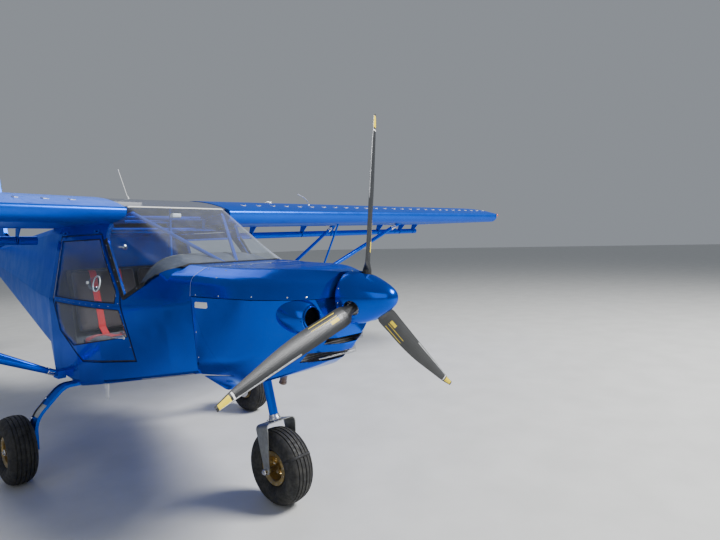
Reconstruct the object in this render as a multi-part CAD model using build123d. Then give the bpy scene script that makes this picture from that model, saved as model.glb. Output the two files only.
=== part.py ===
from build123d import *
import math
import os

# Microlight aircraft: two-seat high-wing metal monoplane on nose-wheel landing gear.
# Millimetres. Nose towards -Y, port wing towards +X, up is +Z, ground at Z = 0.
# Lengthwise places are written as distances aft of the main axle and shifted by MAIN_AXLE_Y.

# Centres the overall length, spinner tip to rudder edge, on the origin
MAIN_AXLE_Y = -954.6

# Wheels and landing gear
TYRE_DIAMETER = 420
TYRE_WIDTH = 160
RIM_SEAT_DIAMETER = 152
RIM_FLANGE_DIAMETER = 188
RIM_WIDTH = 112
WALL_TYRE = 13
TRACK = 1762
WHEELBASE = 1492
MAIN_AXLE_DIAMETER = 32
NOSE_AXLE_DIAMETER = 20
BEARING_GAP = 0.3
LEAF_WIDTH = 110
LEAF_THICKNESS = 18
LEAF_TOP_Z = 548
LEAF_BEND_X = 600
LEAF_FOOT_X = 775
LEAF_KNEE_Z = 375
GEAR_CLAMP_X = 410
LEG_DIAMETER = 50
LEG_LEAN = 15
LEG_REACH_Y = -1453
LEG_REACH_Z = 456
LEG_TOP_Z = 900
FORK_PLATE = 5
FORK_GAP = 190
FORK_CORNER = 26
FORK_CHORD_TOP = 100
FORK_CHORD_AXLE = 42
TOW_PIN = 16

# Cabin and fuselage
WALL_CABIN = 22
WALL_TAIL = 2
FIREWALL_Y = -1300
FIREWALL_THICKNESS = 8
NOSE_SKIN_Y = -1360
SCREEN_BASE_Y = -1158
SCREEN_TOP_Y = -520
REAR_FRAME_Y = 300
STEP_END_Y = 450
DECK_START_Y = 150
CABIN_TOP_Z = 1604
SPLIT_Z = 1187
ROOF_OPENING = 432
ROOF_BEAMS = (-270, 250)
SEAT_HALF_GAP = 12
SEAT_WIDTH = 440
SEAT_LEAN = 14
GLASS = 4
PANEL_GAP = 6
COWL_WALL = 5
NOSE_SKIN_WALL = 6
CHIN_SCOOP = 340
CHIN_SLOT = 250
COWL_GAP = 1
TAILPIPE = ((-90, -1700, 900), (-90, -1645, 722))
TAILPIPE_DIAMETER = 36
TAIL_END_Y = 3780
ROOT_HALF = 368

# Propeller
HUB_Y = -2154
HUB_Z = 1180
THRUST_TILT = 2.17
PROP_RADIUS = 871
BLADE_START = 92
BLADE_TURN = 9.1
BLADE_COUNT = 3
SHANK_DIAMETER = 44
SPINNER_DIAMETER = 250
SPINNER_BASE = 74
SPINNER_NOSE = 175
SPINNER_WALL = 3
# Points of the spinner's contour: share of its radius, share of its length from the base
SPINNER_KNEES = ((0.655, 0.64), (0.37, 0.895))
SPINNER_HOLE = 74
HUB_RADIUS = 48

# Wing
WING_LE_Y = -573
WING_CHORD = 1180
WING_NOSE_Z = 1660
WING_HALF_SPAN = 4471
TIP_LENGTH = 130
DIHEDRAL = 0.62
# Rounded wing tip: share of its length, size of its section
TIP_STATIONS = [(0, 1), (0.4, 0.985), (0.75, 0.92), (1, 0.76)]
WALL_WING = 1.6
NOSE_RADIUS_TOP = 25
NOSE_RADIUS_LOW = 77

# Flaperons
FLAP_HINGE_Y = 612
FLAP_HINGE_Z = 1506
FLAP_START_X = 510
FLAP_END_X = 4230
FLAP_NOSE_RADIUS = 32
FLAP_CHORD = 295
WALL_FLAP = 1.6
FLAP_BRACKETS = (640, 1400, 2080, 2530, 3390, 3850, 4150)
BRACKET_PLATE = 6
PIN_DIAMETER = 10
SWING_GAP = 6
RIB = 16

# Tail
TAILPLANE_Z = 1517
TAILPLANE_LE_Y = 3330
TAILPLANE_HALF = 1250
TAIL_HINGE_Y = 3772
ELEVATOR_CHORD = 350
ELEVATOR_RADIUS = 26
RUDDER_HINGE_Y = 3818
RUDDER_RADIUS = 22
RUDDER_BOTTOM_Z = 1225
FIN_TOP_Z = 2520
FIN_END_Y = 3786
FIN_OUTLINE = [
    (3010, 1465), (3010, 1500), (3390, 1640), (3610, 2440), (3650, FIN_TOP_Z), (FIN_END_Y, FIN_TOP_Z),
    (FIN_END_Y, 1556), (3318, 1556), (3318, 1465),
]
FIN_ROOM = [
    (3170, 1575), (3405, 1655), (3630, 2440), (3665, FIN_TOP_Z - 8), (FIN_END_Y - 10, FIN_TOP_Z - 8),
    (FIN_END_Y - 10, 1575),
]
FIN_HALF = 19
RUDDER_CHORD = 442
WALL_SURFACE = 1.5
RUDDER_SWING = 25
RUDDER_PLATE = 16
RUDDER_SLOT = 20
RUDDER_BRACKETS = (1300, 1750, 2350)
TAIL_BRACKETS = (260, 1130)
TORQUE_TUBE = 28

AXLE_Z = TYRE_DIAMETER / 2


def at(y):
    """Place on the Y axis of a distance aft of the main axle."""
    return MAIN_AXLE_Y + y


def side_plane(x):
    """Plane whose local axes are global Y and Z."""
    return Plane(origin=(x, 0, 0), x_dir=(0, 1, 0), z_dir=(1, 0, 0))


def station(y):
    """Plane across the aircraft whose local axes are global X and Z."""
    return Plane(origin=(0, at(y), 0), x_dir=(1, 0, 0), z_dir=(0, -1, 0))


def side_prism(points, x_low, x_high):
    """Solid between two X values over an outline of (distance aft, height)."""
    line = Polyline(*[(at(y), z) for y, z in points], close=True)
    return extrude(side_plane(x_low) * make_face(line), amount=x_high - x_low)


def block(x_low, x_high, y_low, y_high, z_low, z_high):
    size = (x_high - x_low, y_high - y_low, z_high - z_low)
    middle = ((x_high + x_low) / 2, at((y_high + y_low) / 2), (z_high + z_low) / 2)
    return Pos(*middle) * Box(*size)


def rod(start, end, diameter):
    """Round bar between two points given as (x, distance aft, height)."""
    a = Vector(start[0], at(start[1]), start[2])
    b = Vector(end[0], at(end[1]), end[2])
    return Plane(origin=a, z_dir=b - a) * Cylinder(
        diameter / 2, (b - a).length, align=(Align.CENTER, Align.CENTER, Align.MIN)
    )


def across(y, z, diameter, x_low, x_high):
    """Round bar along X."""
    return rod((x_low, y, z), (x_high, y, z), diameter)


def mirrored(shape):
    return mirror(shape, about=Plane.YZ)


def ring_section(y, half, radii):
    """Closed section from its starboard-to-port half outline, bottom to top, with rounded corners."""
    right = [(x, z) for x, z in half]
    left = [(-x, z) for x, z in reversed(half)]
    outline = FilletPolyline(*right, *left, radius=radii + radii[::-1], close=True)
    return station(y) * make_face(outline)


def body(table, radii, inset=0.0):
    """Loft through stations; each row is distance aft, then half outline points from the keel up."""
    faces = []
    for y, *half in table:
        inner = []
        for place, (x, z) in enumerate(half):
            lift = inset if place == 0 else -inset if place == len(half) - 1 else 0
            inner.append((x - inset, z + lift))
        faces.append(ring_section(y, inner, [max(r - inset, 4) for r in radii]))
    return loft(faces, ruled=True)


def save(name, shape):
    export_step(shape, f"parts/{name}.step")


# Cabin stations: distance aft, then keel corner, belt, cant rail and crown as (half width, height)
CABIN_FRONT = [
    (NOSE_SKIN_Y, (400, 785), (425, 1150), (414, 1282), (316, 1330)),
    (SCREEN_BASE_Y, (438, 748), (470, 1140), (430, 1285), (310, 1340)),
    (SCREEN_TOP_Y, (535, 626), (562, 1100), (466, 1555), (352, 1694)),
]
CABIN_REAR = [
    (SCREEN_TOP_Y, (535, 626), (562, 1100), (466, 1550), (440, CABIN_TOP_Z)),
    (-180, (550, 560), (568, 1100), (468, 1550), (442, CABIN_TOP_Z)),
    (REAR_FRAME_Y, (536, 590), (548, 1100), (456, 1550), (430, CABIN_TOP_Z)),
]
TAIL_BODY = [
    (REAR_FRAME_Y, (536, 590), (548, 1100), (456, 1550), (430, CABIN_TOP_Z)),
    (STEP_END_Y, (508, 768), (528, 1110), (440, 1550), (414, CABIN_TOP_Z)),
    (640, (484, 794), (505, 1115), (425, 1550), (390, 1596)),
    (TAIL_END_Y, (48, 1215), (66, 1330), (60, 1440), (36, 1466)),
]
CABIN_RADII = [30, 200, 70, 60]
TAIL_RADII = [14, 40, 10, 10]
# Cowl stations: distance aft, corner radii, then half outline points from the split or the keel up
COWL_TOP = [
    (NOSE_SKIN_Y, (1, 80, 60), (425, SPLIT_Z), (414, 1282), (316, 1330)),
    (-1560, (1, 80, 60), (412, SPLIT_Z), (388, 1280), (284, 1323)),
    (-1760, (1, 75, 60), (388, SPLIT_Z), (345, 1274), (232, 1320)),
    (-1930, (1, 60, 50), (318, SPLIT_Z), (262, 1262), (142, 1313)),
    (-2058, (1, 40, 40), (206, SPLIT_Z), (154, 1256), (64, 1300)),
]
COWL_LOW = [
    (NOSE_SKIN_Y, (60, 110, 1), (235, 664), (405, 800), (425, SPLIT_Z)),
    (-1560, (60, 110, 1), (250, 726), (395, 850), (412, SPLIT_Z)),
    (-1760, (60, 110, 1), (196, 788), (345, 900), (388, SPLIT_Z)),
    (-1930, (60, 120, 1), (62, 858), (215, 948), (318, SPLIT_Z)),
    (-2000, (44, 100, 1), (44, 902), (152, 990), (262, SPLIT_Z)),
    (-2046, (36, 90, 1), (34, 952), (118, 1028), (219, SPLIT_Z)),
]
# Bulge round each cooling inlet: distance aft, height of its middle, radius
CHEEK_X = 228
CHEEK = [(-2034, 1104, 62), (-1985, 1112, 86), (-1890, 1130, 90), (-1700, 1160, 40)]
INLET_DIAMETER = 92

DOOR_OUTLINE = [(-862, 806), (-752, 1190), (-452, 1530), (236, 1530), (214, 1100), (120, 905), (-262, 736)]
WINDOW_UPPER = [(-706, 1128), (-704, 1190), (-436, 1492), (196, 1492), (176, 1128)]
WINDOW_LOWER = [(-800, 940), (-745, 1086), (168, 1086), (150, 968), (92, 896), (-130, 828)]
HINGE_DOOR_X = 470
HINGE_DOOR_Z = 1538
HINGE_PLACES = (-370, 150)
HINGE_KNUCKLE = 10
HINGE_PIN = 5
HINGE_HALF = 14


def cabin_hull(inset=0.0):
    front = body(CABIN_FRONT, CABIN_RADII, inset)
    rear = body(CABIN_REAR, [30, 200, 20, 10], inset)
    return front + rear


def airfoil(inset=0.0, share=1.0):
    """Wing section in side view, its walls moved in by inset, or shrunk to a share of its size."""
    middle_y = at(WING_LE_Y + 0.38 * WING_CHORD)
    middle_z = WING_NOSE_Z + 20

    def place(y, z):
        return (middle_y + (y - middle_y) * share, middle_z + (z - middle_z) * share)

    nose = place(at(WING_LE_Y) + inset, WING_NOSE_Z)
    tail_y = at(WING_LE_Y) + WING_CHORD - 6 * inset
    top_nose = JernArc(nose, (0, 1), (NOSE_RADIUS_TOP - inset) * share, -72)
    crest = place(at(-120), 1776 - inset)
    shoulder = place(at(180), 1752 - inset)
    tail_top = place(tail_y, 1612 - inset / 2)
    tail_low = place(tail_y, 1594 + inset)
    top_front = TangentArc(top_nose @ 1, crest, tangent=top_nose % 1)
    top_middle = TangentArc(crest, shoulder, tangent=top_front % 1)
    top_rear = TangentArc(shoulder, tail_top, tangent=top_middle % 1)
    low_nose = JernArc(nose, (0, -1), (NOSE_RADIUS_LOW - inset) * share, 90)
    low = Line(tail_low, low_nose @ 1)
    tail = Line(tail_top, tail_low)
    return make_face([top_nose, top_front, top_middle, top_rear, tail, low, low_nose])


def wing_slab(inset, x_low, x_high):
    """Wing section run outwards along the dihedral."""
    rise = math.tan(math.radians(DIHEDRAL))
    face = Pos(0, 0, x_low * rise) * (side_plane(x_low) * airfoil(inset))
    run = Vector(1, 0, rise)
    return extrude(face, amount=(x_high - x_low) * run.length, dir=run)


def wing():
    rise = math.tan(math.radians(DIHEDRAL))
    tip_x = WING_HALF_SPAN - TIP_LENGTH
    skin = wing_slab(0, ROOT_HALF, tip_x)
    hollow = wing_slab(WALL_WING, ROOT_HALF + 3, tip_x - 3)
    caps = []
    for reach, share in TIP_STATIONS:
        x = tip_x + TIP_LENGTH * reach
        caps.append(Pos(0, 0, x * rise) * (side_plane(x) * airfoil(0, share)))
    return skin - hollow + loft(caps, ruled=True)


def teardrop(nose_radius, tail_radius, length):
    """Round-nosed tapering section: origin at the nose centre, tail towards local +X."""
    slope = math.asin((nose_radius - tail_radius) / length)
    s, c = math.sin(slope), math.cos(slope)
    top = Line((nose_radius * s, nose_radius * c), (length + tail_radius * s, tail_radius * c))
    end = ThreePointArc(top @ 1, (length + tail_radius, 0), (length + tail_radius * s, -tail_radius * c))
    low = Line(end @ 1, (nose_radius * s, -nose_radius * c))
    nose = ThreePointArc(low @ 1, (-nose_radius, 0), (nose_radius * s, nose_radius * c))
    return make_face([top, end, low, nose])


def surface(nose_radius, tail_radius, length, wall, plane, span, cap=3):
    """Hollow control surface run along the plane's normal."""
    outer = extrude(plane * teardrop(nose_radius, tail_radius, length), amount=span)
    inner_plane = plane.offset(cap)
    inner = teardrop(nose_radius - wall, max(tail_radius - wall, 0.6), length - 3 * wall)
    return outer - extrude(inner_plane * inner, amount=span - 2 * cap)


def flaperon():
    rise = math.tan(math.radians(DIHEDRAL))
    plane = Plane(
        origin=(FLAP_START_X, at(FLAP_HINGE_Y), FLAP_HINGE_Z + FLAP_START_X * rise),
        x_dir=(0, 1, -0.03),
        z_dir=(1, 0, rise),
    )
    length = FLAP_CHORD - FLAP_NOSE_RADIUS - 3
    panel = surface(FLAP_NOSE_RADIUS, 3, length, WALL_FLAP, plane, FLAP_END_X - FLAP_START_X)
    solid = extrude(plane * teardrop(FLAP_NOSE_RADIUS, 3, length), amount=FLAP_END_X - FLAP_START_X)
    axis_rod = across_rise(FLAP_START_X - 5, FLAP_END_X + 5, PIN_DIAMETER + 2 * BEARING_GAP)
    for x in FLAP_BRACKETS:
        z = FLAP_HINGE_Z + x * rise
        half = BRACKET_PLATE / 2 + SWING_GAP
        front, reach = FLAP_HINGE_Y - 40, half + RIB
        panel += solid & block(x - reach, x + reach, front, front + 80, z - 45, z + 45)
        panel -= block(x - half, x + half, front, front + 54, z - 45, z + 45)
    return panel - axis_rod


def across_rise(x_low, x_high, diameter):
    """Round bar along the hinge line of a flaperon."""
    rise = math.tan(math.radians(DIHEDRAL))
    start = (x_low, FLAP_HINGE_Y, FLAP_HINGE_Z + x_low * rise)
    end = (x_high, FLAP_HINGE_Y, FLAP_HINGE_Z + x_high * rise)
    return rod(start, end, diameter)


def flap_bracket(x):
    """Plate that hangs from the wing's under skin and carries the hinge pin."""
    rise = math.tan(math.radians(DIHEDRAL))
    shift = x * rise
    foot = FLAP_HINGE_Y + 9
    outline = [(500, 1591), (600, 1593), (foot, 1520), (foot, 1496), (FLAP_HINGE_Y - 12, 1492)]
    plate = side_prism([(y, z + shift) for y, z in outline], x - BRACKET_PLATE / 2, x + BRACKET_PLATE / 2)
    half = BRACKET_PLATE / 2 + SWING_GAP
    return plate + across_rise(x - half - 14, x + half + 14, PIN_DIAMETER)


def screen_region():
    """Everything above the line where the clear sheet meets the deck and the door pillar."""
    outline = [(SCREEN_BASE_Y, 1337), (-792, 1158), (SCREEN_TOP_Y, 1494)]
    outline += [(SCREEN_TOP_Y, 1800), (SCREEN_BASE_Y, 1800)]
    return side_prism(outline, -600, 600)


def wing_roots():
    port = wing_slab(0, ROOT_HALF, 700)
    return port + mirrored(port)


def wing_envelope():
    """Solid room of both wing roots and of the roof between them."""
    middle = extrude(side_plane(-ROOT_HALF) * airfoil(0), amount=2 * ROOT_HALF)
    return wing_roots() + middle


def panel_slab(outline, grow, side):
    """Slab through one cabin side over an outline of (distance aft, height) grown by an amount."""
    face = make_face(Polyline(*[(at(y), z) for y, z in outline], close=True))
    if grow:
        face = offset(face, amount=grow, kind=Kind.INTERSECTION)
    low = -660 if side < 0 else 380
    return extrude(side_plane(low) * face, amount=280)


def cabin_skin(depth_out, depth_in):
    """Layer of the cabin hull between two depths."""
    return cabin_hull(depth_out) - cabin_hull(depth_in)


def cabin_shell():
    outer = cabin_hull()
    room = cabin_hull(WALL_CABIN)
    front = block(-600, 600, NOSE_SKIN_Y - 5, FIREWALL_Y, 500, 1400)
    rear = block(-600, 600, REAR_FRAME_Y - WALL_CABIN, REAR_FRAME_Y + 5, 500, 1700)
    nose_room = cabin_hull(NOSE_SKIN_WALL) & front
    shell = outer - (room - front - rear) - nose_room
    shell -= block(-ROOF_OPENING, ROOF_OPENING, SCREEN_TOP_Y - 5, REAR_FRAME_Y - WALL_CABIN, 1548, 1800)
    shell -= screen_region()
    shell -= wing_envelope()
    for side in (-1, 1):
        shell -= panel_slab(DOOR_OUTLINE, PANEL_GAP, side)
    shell += side_wing()
    shell -= block(-45, 45, NOSE_SKIN_Y - 5, FIREWALL_Y, 600, 905)
    for side in (-1, 1):
        middle = side * GEAR_CLAMP_X
        clamp = block(middle - 45, middle + 45, -65, 65, LEAF_TOP_Z + LEAF_THICKNESS / 2, 600)
        shell += clamp - outer
        shell = shell_hinge(shell, side)
    return shell


# The lower cowl's slanted rear edge and the room behind it
OUTLET_EDGE = [(NOSE_SKIN_Y, SPLIT_Z), (-1445, 980), (-1565, 842), (-1562, 790)]
OUTLET_REAR = [(-1340, 770), (-1340, 700), (-1000, 700), (-1000, SPLIT_Z + 5), (NOSE_SKIN_Y, SPLIT_Z + 5)]


def side_wing():
    """Side skins that run forward of the firewall to the lower cowl's slanted edge."""
    edge = [(y + COWL_GAP, z) for y, z in OUTLET_EDGE[1:3]]
    outline = [(NOSE_SKIN_Y, SPLIT_Z - 3)] + edge + [(-1561, 794), (NOSE_SKIN_Y, 784)]
    skin = cowl_body(COWL_LOW, 0) - cowl_body(COWL_LOW, NOSE_SKIN_WALL)
    return skin & side_prism(outline, -600, 600)


def firewall():
    plate = cabin_hull(WALL_CABIN) & block(-600, 600, FIREWALL_Y, FIREWALL_Y + FIREWALL_THICKNESS, 500, 1400)
    blocks = []
    for low, high in ((770, 800), (860, 890)):
        middle = (low + high) / 2
        y = leg_y(middle)
        lug = block(-42, 42, y - 36, FIREWALL_Y, low, high)
        blocks.append(lug - leg_rod(low - 40, high + 40, LEG_DIAMETER + 2 * BEARING_GAP))
    return plate + blocks[0] + blocks[1]


def leg_y(z):
    return LEG_REACH_Y + (z - LEG_REACH_Z) * math.tan(math.radians(LEG_LEAN))


def leg_rod(z_low, z_high, diameter):
    return rod((0, leg_y(z_low), z_low), (0, leg_y(z_high), z_high), diameter)


def windscreen():
    skin = cabin_skin(0, GLASS) & screen_region()
    return skin - wing_roots()


def roof_section(inset, y_low, y_high):
    """Wing section between the two wing roots."""
    slab = extrude(side_plane(-ROOT_HALF) * airfoil(inset), amount=2 * ROOT_HALF)
    return slab & block(-ROOT_HALF, ROOT_HALF, y_low, y_high, 1500, 1800)


def roof_sheet(y_low, y_high, thickness):
    """Curved sheet between the wing roots that follows the wing's upper surface."""
    sheet = roof_section(0, y_low, y_high) - roof_section(thickness, y_low - 5, y_high + 5)
    return sheet & block(-ROOT_HALF, ROOT_HALF, y_low, y_high, 1690, 1800)


def roof_deck():
    """Metal cover behind the roof glass, closed at the wing's trailing edge and laid on the tail cone."""
    deck = roof_section(0, DECK_START_Y, 600) - roof_section(5, DECK_START_Y - 5, 605)
    return deck - block(-ROOT_HALF - 1, ROOT_HALF + 1, DECK_START_Y - 5, REAR_FRAME_Y, 1500, 1650)


def hinge_rod(side, low, high, diameter):
    """Round bar on a door's hinge line."""
    x = side * HINGE_DOOR_X
    return rod((x, low, HINGE_DOOR_Z), (x, high, HINGE_DOOR_Z), diameter)


def door_frame(side):
    frame = cabin_skin(0, WALL_CABIN) & panel_slab(DOOR_OUTLINE, 0, side)
    frame -= panel_slab(WINDOW_UPPER, 0, side)
    frame -= panel_slab(WINDOW_LOWER, 0, side)
    for y in HINGE_PLACES:
        inner, outer = side * (HINGE_DOOR_X - 9), side * (HINGE_DOOR_X - 1)
        low, high = y - HINGE_HALF, y + HINGE_HALF
        leaf = block(min(inner, outer), max(inner, outer), low, high, 1512, HINGE_DOOR_Z)
        frame += leaf + hinge_rod(side, y - HINGE_HALF, y + HINGE_HALF, HINGE_KNUCKLE)
        frame -= hinge_rod(side, y - 40, y + 40, HINGE_PIN + 2 * BEARING_GAP)
    return frame


def shell_hinge(shell, side):
    """Adds two knuckles and a pin at each hinge and clears the door's knuckle between them."""
    for y in HINGE_PLACES:
        shell -= hinge_rod(side, y - HINGE_HALF - 1, y + HINGE_HALF + 1, HINGE_KNUCKLE + 14)
        inner, outer = side * (HINGE_DOOR_X - 16), side * (HINGE_DOOR_X - 1)
        for low, high in ((y - 44, y - HINGE_HALF - 1), (y + HINGE_HALF + 1, y + 44)):
            leaf = block(min(inner, outer), max(inner, outer), low, high, HINGE_DOOR_Z, HINGE_DOOR_Z + 18)
            shell += leaf + hinge_rod(side, low, high, HINGE_KNUCKLE)
        shell += hinge_rod(side, y - 40, y + 40, HINGE_PIN)
    return shell


def door_glass(side):
    skin = cabin_skin(6, 6 + GLASS)
    upper = skin & panel_slab(WINDOW_UPPER, -BEARING_GAP, side)
    lower = skin & panel_slab(WINDOW_LOWER, -BEARING_GAP, side)
    return upper + lower


def cowl_body(table, inset):
    """Smooth loft of one half of the cowl, its walls moved in by inset."""
    lifts = (0, 0, -1) if table is COWL_TOP else (1, 0.5, 0)
    faces = []
    for y, radii, *half in table:
        points = [(x - inset, z + inset * lift) for (x, z), lift in zip(half, lifts)]
        left = [(-x, z) for x, z in reversed(points)]
        rounds = [max(r - inset, 1) for r in radii]
        line = FilletPolyline(*points, *left, radius=rounds + rounds[::-1], close=True)
        faces.append(station(y) * make_face(line))
    return loft(faces)


def cheek(side, inset):
    faces = []
    for y, z, radius in CHEEK:
        faces.append(station(y) * (Pos(side * CHEEK_X, z) * Circle(radius - inset)))
    return loft(faces)


def cowl_upper():
    outer = cowl_body(COWL_TOP, 0) + cheek(-1, 0) + cheek(1, 0)
    inner = cowl_body(COWL_TOP, COWL_WALL) + cheek(-1, COWL_WALL) + cheek(1, COWL_WALL)
    inner -= block(-500, 500, -2070, -2052, 1000, 1500)
    shell = outer - inner - block(-600, 600, -2100, -1000, SPLIT_Z - 300, SPLIT_Z + COWL_GAP)
    return shell - shaft_hole()


def shaft_hole():
    return rod((0, -2100, HUB_Z), (0, -1990, HUB_Z), 170)


def cowl_lower():
    outer = cowl_body(COWL_LOW, 0) + cheek(-1, 0) + cheek(1, 0)
    inner = cowl_body(COWL_LOW, COWL_WALL) + cheek(-1, COWL_WALL) + cheek(1, COWL_WALL)
    inner -= block(-500, 500, -2070, -2041, 700, 1500)
    shell = outer - inner - block(-600, 600, -2100, -1000, SPLIT_Z - 2, SPLIT_Z + 200)
    shell -= shaft_hole()
    shell -= rod(*TAILPIPE, TAILPIPE_DIAMETER + 14)
    shell -= side_prism(OUTLET_EDGE + OUTLET_REAR, -600, 600)
    for side in (-1, 1):
        shell -= rod((side * CHEEK_X, -2080, 1106), (side * CHEEK_X, -1930, 1106), INLET_DIAMETER)
    shell -= block(-CHIN_SCOOP / 2, CHIN_SCOOP / 2, -2080, -1845, 868, 922)
    shell -= block(-CHIN_SLOT / 2, CHIN_SLOT / 2, -2080, -1978, 962, 994)
    return shell - leg_rod(500, 860, LEG_DIAMETER + 14)


def engine_block():
    """Flat four-cylinder engine with its reduction gearbox and shaft, as one mass."""
    case = block(-110, 110, -1950, -1480, 1020, 1240)
    pipes = rod((-60, -1700, 940), (-60, -1700, 1025), 38) + rod((60, -1700, 940), (60, -1700, 1025), 38)
    cylinders = block(-230, 230, -1820, -1560, 1050, 1200)
    gearbox = block(-75, 75, -1990, -1940, 1090, 1260)
    shaft = rod(thrust_point(190), thrust_point(SPINNER_BASE - 4), 60)
    mounts = block(-150, -130, -1570, FIREWALL_Y, 1080, 1110)
    mounts += block(130, 150, -1570, FIREWALL_Y, 1080, 1110)
    return case + cylinders + gearbox + shaft + mounts + (pipes - muffler(BEARING_GAP))


def thrust_point(aft):
    """Point on the thrust line, aft of the hub plane."""
    tilt = math.radians(THRUST_TILT)
    return (0, HUB_Y + aft * math.cos(tilt), HUB_Z - aft * math.sin(tilt))


def thrust_frame():
    return Pos(0, at(HUB_Y), HUB_Z) * Rot(-THRUST_TILT, 0, 0)


def spinner_shape(inset, base=SPINNER_BASE):
    """Turned ogive about the Y axis, hub plane at Y = 0."""
    radius = SPINNER_DIAMETER / 2 - inset
    nose = -SPINNER_NOSE + inset
    knees = [(radius * wide, SPINNER_BASE + (nose - SPINNER_BASE) * far) for wide, far in SPINNER_KNEES]
    curve = Spline((radius, SPINNER_BASE), *knees, (0, nose), tangents=[(0, -1), (-1, -0.05)])
    edge = Polyline((0, nose), (0, base), (radius, base), (radius, SPINNER_BASE))
    return revolve(make_face([curve, edge]), axis=Axis.Y)


def blade_axis_turn(number):
    return Rot(0, BLADE_TURN + 360 / BLADE_COUNT * number, 0)


def spinner():
    shell = spinner_shape(0, SPINNER_BASE + 1) - spinner_shape(SPINNER_WALL, SPINNER_BASE + 5)
    for number in range(BLADE_COUNT):
        hole = Cylinder(SPINNER_HOLE / 2, 120, align=(Align.CENTER, Align.CENTER, Align.MIN))
        shell -= blade_axis_turn(number) * (Pos(0, 0, 60) * hole)
    return thrust_frame() * shell


def prop_hub():
    plate = Pos(0, SPINNER_BASE - 7, 0) * (Rot(-90, 0, 0) * Cylinder(SPINNER_DIAMETER / 2, 5))
    plate = plate & spinner_shape(SPINNER_WALL + BEARING_GAP, SPINNER_BASE + 5)
    core = Rot(-90, 0, 0) * Cylinder(HUB_RADIUS, 2 * (SPINNER_BASE - 6))
    hub = plate + core
    for number in range(BLADE_COUNT):
        socket = Cylinder(27, BLADE_START, align=(Align.CENTER, Align.CENTER, Align.MIN))
        hub += blade_axis_turn(number) * socket
    return thrust_frame() * hub


# Blade stations: radius, chord, bulge ahead of and behind the chord, pitch, offset of the chord's middle
BLADE = [
    (BLADE_START, SHANK_DIAMETER, 22, 22, 30, 0),
    (126, 46, 21, 21, 30, 0),
    (160, 86, 13, 8, 30.5, 6),
    (260, 89, 12, 5, 29.7, 2),
    (380, 88, 10, 3, 28, -5),
    (520, 78, 8, 2, 25, -9),
    (680, 56, 6, 1.5, 21.7, -8),
    (800, 37, 4.5, 1, 18.2, -7),
    (PROP_RADIUS, 22, 3, 1, 15, -3),
]
BLADE_STEP = 26


def blade_slope(place):
    """Rate of change of each column of the blade table along the radius."""
    low, high = BLADE[max(place - 1, 0)], BLADE[min(place + 1, len(BLADE) - 1)]
    return [(b - a) / (high[0] - low[0]) for a, b in zip(low, high)]


def blade_rows():
    """The blade table filled in on smooth curves."""
    rows = [BLADE[0]]
    for place in range(len(BLADE) - 1):
        low, high = BLADE[place], BLADE[place + 1]
        reach = high[0] - low[0]
        count = max(1, round(reach / BLADE_STEP))
        slopes = list(zip(blade_slope(place), blade_slope(place + 1)))
        for step in range(1, count + 1):
            t = step / count
            row = []
            for a, b, (start, end) in zip(low, high, slopes):
                bend = (t ** 3 - 2 * t ** 2 + t) * reach * start + (t ** 3 - t ** 2) * reach * end
                row.append(a + (b - a) * (3 * t ** 2 - 2 * t ** 3) + bend)
            rows.append(row)
    return rows


def blade():
    faces = []
    for radius, chord, ahead, behind, pitch, sweep in blade_rows():
        turn = math.radians(pitch)
        lead = Vector(-math.cos(turn), -math.sin(turn), 0)
        plane = Plane(origin=lead * sweep + Vector(0, 0, radius), x_dir=lead, z_dir=(0, 0, -1))
        rear = ThreePointArc((-chord / 2, 0), (chord * 0.02, behind), (chord / 2, 0))
        front = ThreePointArc((chord / 2, 0), (chord * 0.02, -ahead), (-chord / 2, 0))
        faces.append(plane * make_face([rear, front]))
    return loft(faces, ruled=True)


def propeller_blades():
    shape = blade()
    return Compound(children=[thrust_frame() * (blade_axis_turn(n) * shape) for n in range(BLADE_COUNT)])


def tyre():
    """Ring about the X axis at the origin, open towards the rim."""
    half = TYRE_WIDTH / 2
    seat = RIM_SEAT_DIAMETER / 2 + 1
    crown = TYRE_DIAMETER / 2

    def shape(inset, bead):
        belly = half - inset
        crest = crown - inset
        mid = (crown + seat) / 2
        lip = RIM_FLANGE_DIAMETER / 2 + 2
        tread = ThreePointArc((-belly * 0.6, crest - 6), (0, crest), (belly * 0.6, crest - 6))
        right = ThreePointArc(tread @ 1, (belly, mid), (bead, lip))
        foot = Polyline((bead, lip), (bead, seat), (-bead, seat), (-bead, lip))
        left = ThreePointArc((-bead, lip), (-belly, mid), tread @ 0)
        return make_face([tread, right, foot, left])

    bead = RIM_WIDTH / 2 - 8.5
    face = shape(0, bead) - shape(WALL_TYRE, bead - 10)
    return revolve(Plane.XY * face, axis=Axis.X)


def rim(axle_diameter):
    """Split wheel rim about the X axis with its hub, web and openings."""
    half = RIM_WIDTH / 2
    seat = RIM_SEAT_DIAMETER / 2
    flange = RIM_FLANGE_DIAMETER / 2
    bore = axle_diameter / 2 + BEARING_GAP
    line = Polyline(
        (-half, seat - 4), (-half, flange), (-half + 5, flange), (-half + 8, seat), (half - 8, seat),
        (half - 5, flange), (half, flange), (half, seat - 4), (half - 6, seat - 9), (6, seat - 12),
        (6, bore + 12), (34, bore + 9), (34, bore), (-34, bore), (-34, bore + 9), (-6, bore + 12),
        (-6, seat - 12),
        (-half + 6, seat - 9), close=True,
    )
    wheel = revolve(make_face(line), axis=Axis.X)
    for number in range(6):
        turn = Rot(number * 60, 0, 0)
        wheel -= turn * (Pos(0, 0, (seat + bore) / 2) * (Rot(0, 90, 0) * Cylinder(9, 30)))
    return wheel


def wheel_place(x, y):
    return Pos(x, at(y), AXLE_Z)


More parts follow.
